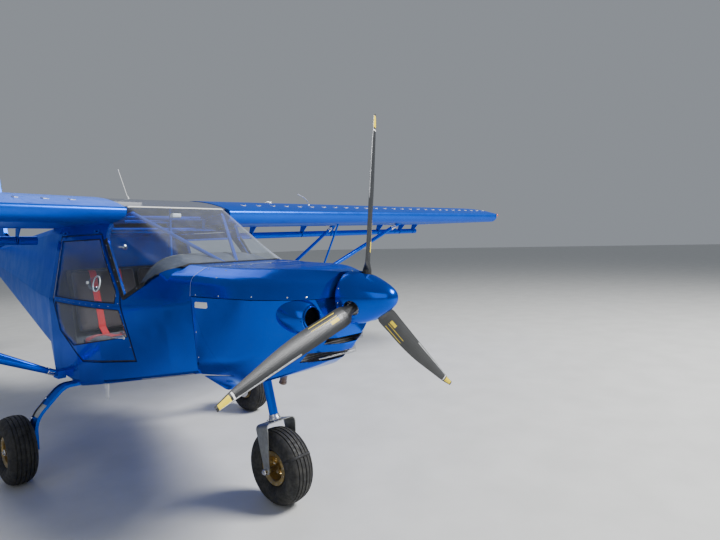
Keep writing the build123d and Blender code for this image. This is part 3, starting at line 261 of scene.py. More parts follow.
# A strip's section, as shares of its width and height
STRIP = ((-0.5, -0.3), (-0.5, 0.6), (-0.36, 1), (0.36, 1), (0.5, 0.6), (0.5, -0.3))


def net(objects):
    """Search tree over the surfaces of objects."""
    points, faces = [], []
    for obj in objects:
        start = len(points)
        points += [obj.matrix_world @ v.co for v in obj.data.vertices]
        faces += [[start + i for i in p.vertices] for p in obj.data.polygons]
    return BVHTree.FromPolygons(points, faces)


def landing(*names):
    """Search tree over the surfaces of CAD nodes."""
    return net(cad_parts[name] for name in names)


def land(tree, start, aim):
    """Where a line from start meets the surface, with the normal that faces back."""
    spot, normal, _, _ = tree.ray_cast(start, aim)
    if spot is None:
        spot, normal, _, _ = tree.find_nearest(start)
    return spot, -normal if normal.dot(aim) > 0 else normal


def settle(tree, point, facing):
    """The nearest point of the surface, with its normal on the side of facing."""
    spot, normal, _, _ = tree.find_nearest(point)
    return spot, -normal if normal.dot(facing) < 0 else normal


def set_out(name, bm):
    """Object of a form, at the origin."""
    mesh = bpy.data.meshes.new(name)
    bm.to_mesh(mesh)
    bm.free()
    obj = bpy.data.objects.new(name, mesh)
    bpy.context.collection.objects.link(obj)
    return obj


def piece(name, bm, finish, body, slot=None, crease=0.6):
    bmesh.ops.remove_doubles(bm, verts=bm.verts, dist=MERGE)
    for face in bm.faces:
        face.smooth = True
    for edge in bm.edges:
        edge.smooth = edge.calc_face_angle(0) < crease
    obj = set_out(name, bm)
    obj.data.materials.append(finish)
    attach(obj, body)
    return obj


def pieces(body, *rows, word=""):
    """Makes several forms pieces: a row is a name, a form, its finish and, where it has one, its slot."""
    for name, bm, finish, *slot in rows:
        piece(f"{name}_{word}" if word else name, bm, finish, body, *slot)


def forms(count):
    """Empty forms, one for each piece to come."""
    return [bmesh.new() for _ in range(count)]


def thicken(obj, thickness, offset):
    wall = obj.modifiers.new("wall", "SOLIDIFY")
    wall.thickness = thickness
    wall.offset = offset


def absorb(bm, form, closed=True):
    """Adds a finished form to a piece."""
    bmesh.ops.remove_doubles(form, verts=form.verts, dist=MERGE)
    if closed:
        bmesh.ops.recalc_face_normals(form, faces=form.faces)
    mesh = bpy.data.meshes.new("form")
    form.to_mesh(mesh)
    form.free()
    bm.from_mesh(mesh)
    bpy.data.meshes.remove(mesh)


def grid(columns, rows, place):
    """Grid whose points are placed by their shares u and v."""
    form = bmesh.new()
    bmesh.ops.create_grid(form, x_segments=columns, y_segments=rows, size=0.5)
    for v in form.verts:
        v.co = place(v.co.x + 0.5, v.co.y + 0.5)
    return form


def lay(bm, columns, rows, place, outward=None):
    """Adds a grid; outward is a direction that the sheet faces."""
    form = grid(columns, rows, place)
    if outward is not None:
        form.normal_update()
        form.faces.ensure_lookup_table()
        if form.faces[len(form.faces) // 2].normal.dot(outward) < 0:
            bmesh.ops.reverse_faces(form, faces=form.faces)
    absorb(bm, form, closed=False)


def along(points, share):
    """Point at a share of a polyline's length, and the direction there."""
    lengths = [(b - a).length for a, b in zip(points, points[1:])]
    reach = share * sum(lengths)
    for a, b, length in zip(points, points[1:], lengths):
        if reach <= length or b is points[-1]:
            return a.lerp(b, min(reach / length, 1)), (b - a).normalized()
        reach -= length


def rounded(points, steps=6):
    """Catmull-Rom curve through points."""
    ends = [2 * points[0] - points[1], *points, 2 * points[-1] - points[-2]]
    curve = []
    for a, b, c, d in zip(ends, ends[1:], ends[2:], ends[3:]):
        for step in range(steps):
            t = step / steps
            curve.append(0.5 * ((2 * b) + (c - a) * t + (2 * a - 5 * b + 4 * c - d) * t * t
                                + (3 * b - a - 3 * c + d) * t ** 3))
    return curve + [points[-1]]


def tube(bm, points, radius, sides=10, closed=False):
    """Round bar along a path, its ends domed."""
    rows, up = [], None
    ring = [points[-2], *points, points[1]] if closed else [points[0], *points, points[-1]]
    for before, point, after in zip(ring, points, ring[2:]):
        aim = (after - before).normalized()
        up = up or aim.orthogonal().normalized()
        up = (up - aim * up.dot(aim)).normalized()
        rows.append((point, up, aim.cross(up), radius, aim))
    if not closed:
        (low, a, b, _, first), (high, c, d, _, last) = rows[0], rows[-1]
        rows = [(low - first * radius * DOME_REACH, a, b, radius * DOME_SIZE, first), *rows,
                (high + last * radius * DOME_REACH, c, d, radius * DOME_SIZE, last)]

    def place_ring(u, v):
        point, a, b, size, _ = rows[round(u * (len(rows) - 1))]
        turn = -2 * math.pi * v
        return point + (a * math.cos(turn) + b * math.sin(turn)) * size
    form = grid(len(rows) - 1, sides, place_ring)
    bmesh.ops.remove_doubles(form, verts=form.verts, dist=MERGE)
    bmesh.ops.holes_fill(form, edges=form.edges, sides=0)
    absorb(bm, form)


def turned(bm, profile, middle, axis, segments=32, spin=0.0):
    """Spins a profile of (distance along the axis, radius), in mm, about an axis through a point."""
    base = Matrix.Translation(middle) @ axis.to_track_quat("Z", "Y").to_matrix().to_4x4()
    base = base @ Matrix.Rotation(spin, 4, "Z")
    form = bmesh.new()
    verts = [form.verts.new(base @ Vector((r / 1000, 0, s / 1000))) for s, r in profile]
    edges = [form.edges.new(pair) for pair in zip(verts, verts[1:])]
    bmesh.ops.spin(form, geom=verts + edges, cent=middle, axis=axis, angle=2 * math.pi, steps=segments,
                   use_merge=True, use_duplicate=False)
    absorb(bm, form)


def hex_head(bm, middle, axis, size, height, spin=0.0):
    """Hexagon bolt head with its washer; size across the flats."""
    wide = size / math.sqrt(3)
    turned(bm, [(0, 0), (0, wide * 1.25), (height * 0.2, wide * 1.25), (height * 0.2, 0)], middle, axis, 20)
    turned(bm, [(height * 0.2, 0), (height * 0.2, wide), (height * 0.9, wide), (height, wide * 0.8), (height, 0)],
           middle, axis, 6, spin)


def dome_screw(bm, middle, axis, radius):
    """Low domed screw with a socket in its head."""
    turned(bm, [(-0.4, 0), (-0.4, radius), (radius * 0.2, radius * 0.92), (radius * 0.42, radius * 0.62),
                (radius * 0.5, radius * 0.36), (radius * 0.15, radius * 0.3), (radius * 0.15, 0)], middle, axis, 12)


def stud(bm, spot, normal, radius):
    """Low round rivet head."""
    height = radius * 0.42 / 1000
    base = Matrix.Translation(spot + normal * height * 0.35) @ normal.to_track_quat("Z", "Y").to_matrix().to_4x4()
    bmesh.ops.create_cone(bm, cap_ends=True, segments=8, radius1=radius / 1000, radius2=radius * 0.5 / 1000,
                          depth=height, matrix=base)


def rivet(name, body, groups, pitch=48, radius=2.2, sides=(1, -1)):
    """Piece of rivet rows: each group is a node and its rows, a row two ends as (x, aft, height) and an aim."""
    studs = bmesh.new()
    for node, rows in groups:
        tree = landing(node)
        for side, (low, high, aim) in ((side, row) for side in sides for row in rows):
            start, end = at(side * low[0], *low[1:]), at(side * high[0], *high[1:])
            aim = Vector((aim.x * side, aim.y, aim.z))
            count = max(2, round((end - start).length * 1000 / pitch))
            for point in (start.lerp(end, step / count) for step in range(count + 1)):
                spot, normal, _, _ = tree.ray_cast(point, aim)
                if spot is not None and (spot - point).length < STUD_REACH:
                    stud(studs, spot, -normal if normal.dot(aim) > 0 else normal, radius)
    piece(name, studs, sheet_blue, body, "alloy_blue")


def lattice(span, afts, chord, places, faces, rise=0.0):
    """Rivet rows along the span at each aft, and along the chord at each place, on each (height, aim)."""
    rows = []
    for high, aim in faces:
        rows += [(*((x, aft, high + x * rise) for x in span), aim) for aft in afts]
        rows += [(*((x, aft, high + x * rise) for aft in chord), aim) for x in places]
    return rows


def around(count, start=0.0):
    """Angles of places spaced evenly round a circle."""
    return [math.radians(start + 360 * number / count) for number in range(count)]


def spoke(turn, across=AFT, axis=UP):
    """Direction at an angle from an axis towards one across it."""
    return across * math.sin(turn) + axis * math.cos(turn)


def screw_down(bm, tree, points, aim, radius):
    for point in points:
        dome_screw(bm, *land(tree, point, aim), radius)


def landed(tree, points, aim):
    return [land(tree, point, aim)[0] for point in points]


def ribbon(bm, tree, points, facing, width, height, step=12, flat=False):
    """Strip laid on a surface along a path, width and height in mm, its edges sunk into the surface.

    A flat one keeps its own section where it bridges a corner between two sheets."""
    count = max(2, round(sum((b - a).length for a, b in zip(points, points[1:])) * 1000 / step))
    places = [along(points, number / count) for number in range(count + 1)]
    spots = [settle(tree, point, facing(point) if callable(facing) else facing) for point, _ in places]
    rows = []
    for number, (spot, normal) in enumerate(spots):
        aim = places[number][1]
        if flat:
            near = spots[max(0, number - 3):number + 4]
            normal = sum((n for _, n in near), Vector()).normalized()
            aim = places[min(count, number + 2)][0] - places[max(0, number - 2)][0]
        across = normal.cross(aim).normalized()
        rows.append([])
        for side, lift in STRIP:
            base, up = spot + across * side * width / 1000, normal
            if not flat:
                base, up = settle(tree, base, normal)
            rows[-1].append(base + up * lift * height / 1000)
    lay(bm, count, len(STRIP) - 1, lambda u, v: rows[round(u * count)][round(v * (len(STRIP) - 1))])


def patch(bm, columns, rows, surface, outward, lift=0.4):
    """Thin plate laid over a surface given as a function of u and v; its rim dips into the surface."""
    def place(u, v):
        spot, normal = surface(u, v)
        rim = min(u, v, 1 - u, 1 - v) < 1e-4
        return spot + normal * (-0.3 if rim else lift) / 1000
    lay(bm, columns, rows, place, outward)


# Wheels -------------------------------

# Half of the tyre's section from the bead to the crown, as (distance from its middle plane, radius)
TYRE_HALF = [(46, 79), (48.5, 88), (49, 97), (60, 102), (71, 116), (78.5, 136), (79.5, 152), (76, 170), (69, 184),
             (60, 194.5), (52, 200.5), (47, 202.8), (46, 198.6), (42, 199.6), (41, 205), (38, 205.6), (30, 207.2),
             (27, 207.6), (26, 203), (22, 203.3), (21, 208.6), (12, 209.6), (4, 210), (3, 205), (0, 205)]
TYRE_WALL = slice(4, 11)        # the part that the hollow inside follows
AXLE_AFT = -1492                # of the nose wheel
WHEELS = (("tyre_port", "port_wheel", at(881, 0, AXLE_Z), 1),
          ("tyre_starboard", "starboard_wheel", at(-881, 0, AXLE_Z), -1),
          ("tyre_nose", "nose_wheel", at(0, AXLE_AFT, AXLE_Z), -1))


def make_wheels():
    inner = [(s * 0.72, r + 11 if r < 150 else r - 12) for s, r in reversed(TYRE_HALF[TYRE_WALL])]
    other = [(-s, r) for s, r in TYRE_HALF]
    section = TYRE_HALF + other[-2::-1] + [(-s, r) for s, r in reversed(inner)] + inner + TYRE_HALF[:1]
    for tyre, body, middle, side in WHEELS:
        out = PORT * side
        bm, bolts, valve = forms(3)
        turned(bm, section, middle, PORT, 72)
        rubber = piece(f"ribbed_{tyre}", bm, tyre_rubber, body, "tyre", 0.5)
        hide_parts(tyre)
        for look in (PORT, -PORT):
            for turn in around(6, 30):
                hex_head(bolts, middle + look * 0.006 + spoke(turn) * 0.054, look, 11, 6, turn)
            for turn in around(12, 15):
                dome_screw(bolts, middle + look * 0.0557 + spoke(turn) * 0.086, look, 3.2)
        foot = middle + out * 0.006 + UP * 0.058
        stem = [foot, foot + out * 0.015, foot + out * 0.034 + UP * 0.008]
        tube(valve, rounded(stem, 4), 0.0042, 10)
        turned(valve, [(-2, 0), (-2, 5.2), (7, 5.2), (9, 4), (9, 0)], stem[2], (stem[2] - stem[1]).normalized(), 12)
        pieces(body, (f"{body}_bolts", bolts, bright_metal), (f"{body}_valve", valve, black_trim))
        if body != "nose_wheel":
            make_brake(body, middle, side)


def make_brake(body, middle, side):
    """Disc on the wheel, and the caliper and the axle nut, which stand still."""
    out = PORT * side
    disc, caliper, nut = forms(3)
    centre = middle - out * 0.0735
    turned(disc, [(-2.5, 38), (-2.5, 84), (-1.8, 85), (1.8, 85), (2.5, 84), (2.5, 38), (9, 36), (9, 22), (-2.5, 22),
                  (-2.5, 38)], centre, out, 48)
    lay_block(caliper, centre + Vector((0, 0.068, 0.018)), (0.026, 0.038, 0.062), 0.006)
    lay_block(caliper, centre + Vector((-side * 0.008, 0.030, 0.010)), (0.007, 0.075, 0.034), 0.003)
    for lift in (-0.002, 0.036):
        hex_head(caliper, centre + Vector((-side * 0.013, 0.068, lift)), -out, 9, 5)
    end = at(side * 933, 0, AXLE_Z)
    turned(nut, [(-6, 0), (-6, 25), (-3, 25), (-3, 0)], end, out, 24)
    turned(nut, [(-3, 0), (-3, 21), (8, 21), (10, 18), (10, 13), (16, 12), (16, 0)], end, out, 6)
    piece(f"{body}_disc", disc, bright_metal, body)
    pieces("airframe", (f"{body}_caliper", caliper, cast_alloy), (f"{body}_nut", nut, bright_metal, "steel"))


def lay_block(bm, middle, size, round_by):
    """Cast lump with rounded edges, for brackets and housings."""
    form = bmesh.new()
    bmesh.ops.create_cube(form, size=1, matrix=Matrix.Translation(middle) @ Matrix.Diagonal((*size, 1)))
    bmesh.ops.bevel(form, geom=form.edges[:], offset=round_by, affect="EDGES", segments=2, profile=0.5, material=-1)
    absorb(bm, form)


make_wheels()


# Propeller ----------------------------

BLADE = ((92, 44, 30, 0), (126, 46, 30, 0), (160, 86, 30.5, 6), (260, 89, 29.7, 2), (380, 88, 28, -5),
         (520, 78, 25, -9), (680, 56, 21.7, -8), (800, 37, 18.2, -7), (871, 22, 15, -3))
# A mark's radii, its edges as shares of the chord, the steps each way and how far it stands off
BLADE_MARKS = (("tip", 801, 866, -0.47, 0.47, 8, 8, 0.25), ("lines", 786, 799, -0.47, 0.47, 3, 8, 0.25),
               ("guard", 455, 868, 0.36, 0.475, 32, 4, 0.5))
FRONT_BARS = (("bars", 200, 370, -0.45, -0.395, 16, 2, 0.25), ("bars", 200, 370, -0.29, -0.235, 16, 2, 0.25),
              ("bars", 203, 262, -0.235, 0.04, 8, 4, 0.25))
thrust = Matrix.Translation(at(*HUB)) @ Matrix.Rotation(THRUST_TILT, 4, "X")


def blade_row(radius):
    """Chord, lead direction and offset of a blade at a radius, in the blade's own axes."""
    for low, high in zip(BLADE, BLADE[1:]):
        if radius <= high[0]:
            t = (radius - low[0]) / (high[0] - low[0])
            chord, pitch, offset = (a + (b - a) * t for a, b in zip(low[1:], high[1:]))
            turn = math.radians(pitch)
            return chord, Vector((-math.cos(turn), -math.sin(turn), 0)), offset
    return blade_row(BLADE[-1][0])


def make_propeller():
    tree, shell = landing("propeller_blades"), landing("spinner")
    finishes = {"tip": yellow_mark, "lines": white_mark, "guard": bare_alloy, "bars": yellow_mark}
    marks = {name: bmesh.new() for name in finishes}
    bolts, rings, screws = forms(3)
    for place in around(3):
        turn = thrust @ Matrix.Rotation(BLADE_TURN + place, 4, "Y")
        spin = turn.to_3x3()
        for face in (-1, 1):
            for name, low, high, back, front, columns, rows, lift in BLADE_MARKS + (FRONT_BARS if face < 0 else ()):
                def surface(u, v):
                    radius = low + (high - low) * u
                    chord, lead, offset = blade_row(radius)
                    reach = offset + chord * (back + (front - back) * v)
                    start = lead * reach / 1000 + Vector((0, face * 0.1, radius / 1000))
                    return land(tree, turn @ start, spin @ Vector((0, -face, 0)))
                patch(marks[name], columns, rows, surface, spin @ Vector((0, face, 0)), lift)
        for way in (-1, 1):
            hex_head(bolts, turn @ Vector((way * 0.0285, -0.0225, 0.062)), spin @ -AFT, 9, 5)
        turned(rings, [(-5, 22.5), (-5, 29.5), (2, 29.5), (3, 28.5), (3, 22.5), (-5, 22.5)],
               turn @ Vector((0, 0, 0.089)), spin @ UP, 32)
    pieces("propeller", *((f"blade_{name}", bm, finishes[name]) for name, bm in marks.items()))
    for place in around(12, 15):
        turn = thrust @ Matrix.Rotation(BLADE_TURN + place, 4, "Y")
        screw_down(screws, shell, [turn @ Vector((0, 0.062, 0.2))], turn.to_3x3() @ DOWN, 4)
    for turn in around(6):
        hex_head(bolts, thrust @ (spoke(turn, PORT) * 0.033 - AFT * 0.068), thrust.to_3x3() @ -AFT, 10, 6, turn)
    pieces("propeller", ("hub_clamps", rings, bright_metal, "metal"), ("spinner_screws", screws, bright_metal),
           ("hub_bolts", bolts, bright_metal, "metal"))


make_propeller()


# Cowl ---------------------------------

INLET = (228, -2035, 1106)
COWL_SCREWS = ((-1395, 1197), (-1395, 1140), (-1580, 1198), (-1790, 1201), (-1950, 1198), (-2015, 1197), (-1515, 1313),
               (-1520, 1283), (-1385, 1010), (-1385, 880))


def gauze(name, columns, rows, place, thickness=1.6, reach=None):
    """Sheet of woven wire, cut round where it has a reach from its middle."""
    bm = bmesh.new()
    lay(bm, columns, rows, place)
    if reach:
        far = [v for v in bm.verts if (v.co - place(0.5, 0.5)).length > reach]
        bmesh.ops.delete(bm, geom=far, context="VERTS")
    obj = piece(name, bm, black_trim, "airframe")
    wire = obj.modifiers.new("wire", "WIREFRAME")
    wire.thickness = thickness / 1000
    wire.use_even_offset = False


def make_cowl():
    tree = landing("cowl_upper", "cowl_lower", "cabin_shell")
    screws, seam_shadows, lap, bar, plate, lip, strip = forms(7)
    for side, word in SIDES:
        aim, (x, aft, z) = PORT * -side, INLET
        screw_down(screws, tree, [at(side * BESIDE_COWL, *spot) for spot in COWL_SCREWS], aim, 4.6)
        screw_down(screws, tree, [at(side * over, -1384, OVER_COWL) for over in (330, 200, 70)], DOWN, 4.6)
        # Dark strips along the cowl's rear seam and along its side split line: painted shadow in the gaps between
        # panels
        line = landed(tree, [at(side * BESIDE_COWL, -1358, high) for high in range(800, 1290, 30)], aim)
        line += landed(tree, [at(side * over, -1358, OVER_COWL) for over in range(360, -1, -30)], DOWN)
        ribbon(seam_shadows, tree, line, lambda p: Vector((p.x, 0, p.z - 1.15)), 2.2, 0.3)
        rail = landed(tree, [at(side * BESIDE_COWL, back, 1187.6) for back in range(-1372, -2030, -30)], aim)
        ribbon(seam_shadows, tree, rail, Vector((side, 0, 0.05)), 2.2, 0.3)
        ring = bmesh.new()
        turned(ring, [(-6, 45.5), (0.5, 45.8), (4, 48), (3, 52), (-2, 54), (-8, 52), (-6, 45.5)],
               at(side * x, aft, z), -AFT, 40)
        piece(f"inlet_ring_{word}", ring, gloss_blue, "airframe", "composite_blue")
        gauze(f"inlet_gauze_{word}", 16, 16,
              lambda u, v: at(side * x + (u - 0.5) * 110, aft + 45, z + (v - 0.5) * 110), reach=0.056)
        chine = [at(side * BESIDE, back, 634 + (back + 520) * -0.187) for back in range(-880, -1350, -40)]
        ribbon(strip, tree, landed(tree, chine, aim), Vector((side, 0, -0.4)), 9, 2.2, flat=True)
    gauze("scoop_gauze", 38, 8, lambda u, v: at((u - 0.5) * 330, -1930 + 10 * v, 872 + 46 * v), 2)
    gauze("slot_gauze", 30, 4, lambda u, v: at((u - 0.5) * 240, -2020, 963 + 30 * v))
    # Bare metal strip along the upper cowl's rear edge: painted highlight where the lap edge catches the light
    line = []
    for number in range(61):
        out = spoke(math.radians(72 - 144 * number / 60), PORT)
        line += landed(tree, [at(0, -1350, 1050) + out * 0.7], -out)
    ribbon(lap, tree, line, lambda p: Vector((p.x, 0, p.z - 1.05)), 2.6, 0.8, 10, flat=True)
    tube(bar, [at(-128, -1964, 893), at(-60, -1972, 893), at(60, -1972, 893), at(128, -1964, 893)], 0.004)
    patch(plate, 8, 4, lambda u, v: land(tree, at(-BESIDE_COWL, -1392 - 106 * u, 1131 + 34 * v), PORT), -PORT, 1.2)
    low, top = at(-90, -1645, 722), at(-90, -1700, 900)
    turned(lip, [(-6, 14), (-6, 20), (4, 20.5), (6, 19), (6, 15), (-30, 14.5), (-30, 0), (-31, 0), (-31, 15), (-6, 14)],
           low, (low - top).normalized(), 28)
    pieces("airframe", ("cowl_screws", screws, bright_metal), ("cowl_seams", seam_shadows, seam_shadow_blue),
           ("cowl_rear_lap", lap, bare_alloy), ("scoop_bar", bar, bare_alloy), ("blank_plate", plate, white_paint),
           ("tailpipe_lip", lip, heat_steel, "exhaust"), ("chine_strip", strip, bare_alloy))


make_cowl()


# Windscreen, roof and cabin -----------

SCREEN_LINE = ((-1158, 1337), (-1060, 1289), (-960, 1240), (-860, 1191), (-792, 1158), (-745, 1216), (-690, 1284),
               (-640, 1346), (-580, 1420), (-520, 1494))


def make_screen():
    tree = landing("windscreen", "cabin_shell")
    seal, screws, highlight_strip, rear_strip, post, ball, compass = forms(7)
    for side, _ in SIDES:
        path = landed(tree, [at(side * BESIDE, aft, z) for aft, z in SCREEN_LINE], PORT * -side)
        front = landed(tree, [at(side * x, -1161, OVER_COWL) for x in (0, 60, 120, 180, 240, 290)], DOWN)
        front += landed(tree, [at(side * BESIDE, -1158, 1331)], PORT * -side)
        ribbon(seal, tree, front + path[1:], lambda p: Vector((p.x, -0.1, p.z - 1.1)), 25, 5, 10, flat=True)
        spots = path[1:4] + path[5:]
        for a, b in zip(spots, spots[1:]):
            spot, normal = settle(tree, a.lerp(b, 0.5), Vector((side, 0, 0.2)))
            dome_screw(screws, spot + normal * 0.0048, normal, 4)
    # White strip across the windscreen's bend: painted highlight where the sun's reflection runs along the bend
    top = landing("windscreen", "roof_glazing", "wing_port", "wing_starboard")
    over = landed(top, [at(x, -524, OVER_ROOF) for x in range(-340, 341, 34)], DOWN)
    ribbon(highlight_strip, top, over, Vector((0, -0.5, 1)), 13, 3)
    rear = landed(top, [at(x, 140, OVER_ROOF) for x in range(-350, 351, 35)], DOWN)
    ribbon(rear_strip, top, rear, UP, 26, 1.4)
    tube(post, [at(0, -412, 1704), at(0, -398, 1400), at(0, -385, 764)], 0.008)
    turned(ball, [(0, 0), (0, 6), (16, 5), (18, 9), (24, 15), (32, 18), (40, 15), (46, 8), (47, 0)],
           at(-444, -612, 1446), Vector((0.8, -0.5, 0)), 24)
    lay_block(compass, at(-40, -556, 1640), (0.062, 0.036, 0.026), 0.006)
    turned(compass, [(0, 0), (0, 11), (4, 11), (5, 9), (4, 8), (4, 0)], at(-40, -538, 1640), AFT, 28)
    pieces("airframe", ("screen_top_strip", highlight_strip, white_paint), ("roof_rear_strip", rear_strip, bare_alloy),
           ("screen_seal", seal, seal_rubber), ("screen_screws", screws, bright_metal),
           ("cabin_centre_tube", post, tube_blue, "frame_blue"), ("screen_post_ball", ball, bright_metal),
           ("roof_compass", compass, white_paint))


make_screen()


# Doors --------------------------------

DOOR = [(-862, 806), (-752, 1190), (-452, 1530), (236, 1530), (214, 1100), (120, 905), (-262, 736)]
WINDOW_UPPER = [(-706, 1128), (-704, 1190), (-436, 1492), (196, 1492), (176, 1128)]
WINDOW_LOWER = [(-800, 940), (-745, 1086), (168, 1086), (150, 968), (92, 896), (-130, 828)]


def inset(outline, amount):
    """Outline of (aft, height) moved towards its middle."""
    mid_y = sum(y for y, _ in outline) / len(outline)
    mid_z = sum(z for _, z in outline) / len(outline)
    moved = []
    for y, z in outline:
        reach = math.hypot(y - mid_y, z - mid_z)
        moved.append((y + (mid_y - y) * amount / reach, z + (mid_z - z) * amount / reach))
    return moved + moved[:1]


def between(low, high, steps):
    """Evenly spaced points from one (aft, height) to another."""
    return [(low[0] + (high[0] - low[0]) * n / steps, low[1] + (high[1] - low[1]) * n / steps)
            for n in range(steps + 1)]


def make_doors():
    for side, word in SIDES:
        body, aim = f"{word}_door", PORT * -side
        tree = landing(f"door_{word}", f"door_glass_{word}")

        def outside(*spots):
            return [at(side * BESIDE, *spot) for spot in spots]
        for name, outline, width, height in (("door_edge_strip", inset(DOOR, 5), 6, 1.2),
                                             ("upper_pane_seal", inset(WINDOW_UPPER, -5), 7, 1.6),
                                             ("lower_pane_seal", inset(WINDOW_LOWER, -5), 7, 1.6)):
            path = []
            for low, high in zip(outline, outline[1:]):
                path += between(low, high, max(1, round(math.dist(low, high) / 40)))[:-1]
            bm = bmesh.new()
            ribbon(bm, tree, landed(tree, outside(*path, path[0]), aim), -aim, width, height)
            piece(f"{name}_{word}", bm, seal_rubber, body)
        edge, screws, vent, knob, latch = forms(5)
        # Bright metal strips on the door's front pillar and rear edge: painted highlight along these edges
        for low, high in (((-745, 1200), (-470, 1512)), ((222, 1510), (203, 1110))):
            ribbon(edge, tree, landed(tree, outside(*between(low, high, 12)), aim), -aim, 7, 1.4)
        screw_down(screws, tree, outside(*((aft, 1107) for aft in range(-650, 161, 90))), aim, 4)
        for low, high in (DOOR[0:2], DOOR[1:3], DOOR[3:5]):
            rim = [inset([spot, (-300, 1150)], 26)[0] for spot in between(low, high, 6)[1:-1]]
            screw_down(screws, tree, outside(*rim), aim, 3.6)
        spot, normal = land(tree, at(side * BESIDE, -478, 1230), aim)
        turned(vent, [(-2, 47), (3, 47), (4, 44), (6, 41), (20, 39), (36, 31), (46, 17), (49, 0), (47, 0), (44, 15),
                      (34, 28), (19, 36), (5, 38), (-2, 39), (-2, 47)], spot, normal, 40)
        turned(knob, [(48, 0), (48, 7), (51, 9), (58, 8), (60, 5), (60, 0)], spot, normal, 20)
        turned(knob, [(-2, 49), (3.5, 49), (4.5, 47), (4.5, 45), (-2, 45), (-2, 49)], spot, normal, 40)
        spot, normal = land(tree, at(side * BESIDE, -774, 934), aim)
        turned(latch, [(-1, 0), (-1, 13), (3, 13), (5, 10), (5, 6), (3, 5), (3, 0)], spot, normal, 24)
        neck = spot + normal * 0.02
        lever = rounded([spot + normal * 0.006, neck + AFT * 0.03, neck + AFT * 0.095 - UP * 0.006], 5)
        tube(latch, lever, 0.006, 10)
        pieces(body, ("door_bright_edge", edge, bright_metal), ("door_screws", screws, bright_metal),
               ("door_vent", vent, screen_clear, "clear"), ("door_vent_knob", knob, white_paint),
               ("door_latch", latch, bright_metal), word=word)


make_doors()


# Seats, harness and panel -------------

SEAT_X = 232
LEAN = math.radians(14)
BACK_UP, BACK_FRONT = spoke(LEAN), spoke(LEAN, UP, -AFT)
BACK_FOOT = at(SEAT_X, 66, 752)
SEAM_HALF = 0.0035
PAD_FOOT = 764          # height below which a cushion is held by its pan
PAD_SHRINK = 0.972      # before it is blown out
PRESSURE, CLOTH_FRAMES = 4, 18
STRAP = 46              # width of the harness, in mm
LAP_LINE = ((-212, -30), (-130, -110), (0, -150), (130, -110), (212, -30))


def stuffed(name, node, held, cap=0.022):
    """The node's port pad as cloth: remeshed, blown out from inside and held where it is sewn or rests."""
    bm = bmesh.new()
    bm.from_mesh(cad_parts[node].data)
    bmesh.ops.delete(bm, geom=[v for v in bm.verts if v.co.x < 0], context="VERTS")
    bmesh.ops.remove_doubles(bm, verts=bm.verts, dist=1e-5)
    middle = sum((v.co for v in bm.verts), Vector()) / len(bm.verts)
    bmesh.ops.scale(bm, vec=(PAD_SHRINK,) * 3, verts=bm.verts, space=Matrix.Translation(-middle))
    obj = set_out(name, bm)
    voxels = obj.modifiers.new("cells", "REMESH")
    voxels.mode = "VOXEL"
    voxels.voxel_size = 0.006
    bake(obj)
    start = [v.co.copy() for v in obj.data.vertices]
    group = obj.vertex_groups.new(name="held")
    group.add([v.index for v in obj.data.vertices if held(v.co)], 1, "REPLACE")
    cloth = obj.modifiers.new("cloth", "CLOTH")
    cloth.settings.use_pressure = True
    cloth.settings.uniform_pressure_force = PRESSURE
    cloth.settings.effector_weights.gravity = 0
    cloth.settings.vertex_group_mass = "held"
    for frame_number in range(1, CLOTH_FRAMES + 1):
        bpy.context.scene.frame_set(frame_number)
    bake(obj)
    bpy.context.scene.frame_set(1)
    for v, before in zip(obj.data.vertices, start):
        moved = v.co - before
        if moved.length > cap:
            v.co = before + moved.normalized() * cap
    for face in obj.data.polygons:
        face.use_smooth = True
    return obj


def bake(obj):
    """Applies an object's modifiers to its mesh."""
    bpy.context.view_layer.update()
    done = bpy.data.meshes.new_from_object(obj.evaluated_get(bpy.context.evaluated_depsgraph_get()))
    obj.modifiers.clear()
    obj.data = done


def other_side(obj, name):
    """Mirror copy of a piece across the middle plane."""
    bm = bmesh.new()
    bm.from_mesh(obj.data)
    bmesh.ops.scale(bm, vec=(-1, 1, 1), verts=bm.verts)
    bmesh.ops.reverse_faces(bm, faces=bm.faces)
    return set_out(name, bm)


def sewn(place, *lines):
    """Whether a place lies on one of the seams, given in mm."""
    return any(abs(place - line / 1000) < SEAM_HALF for line in lines)


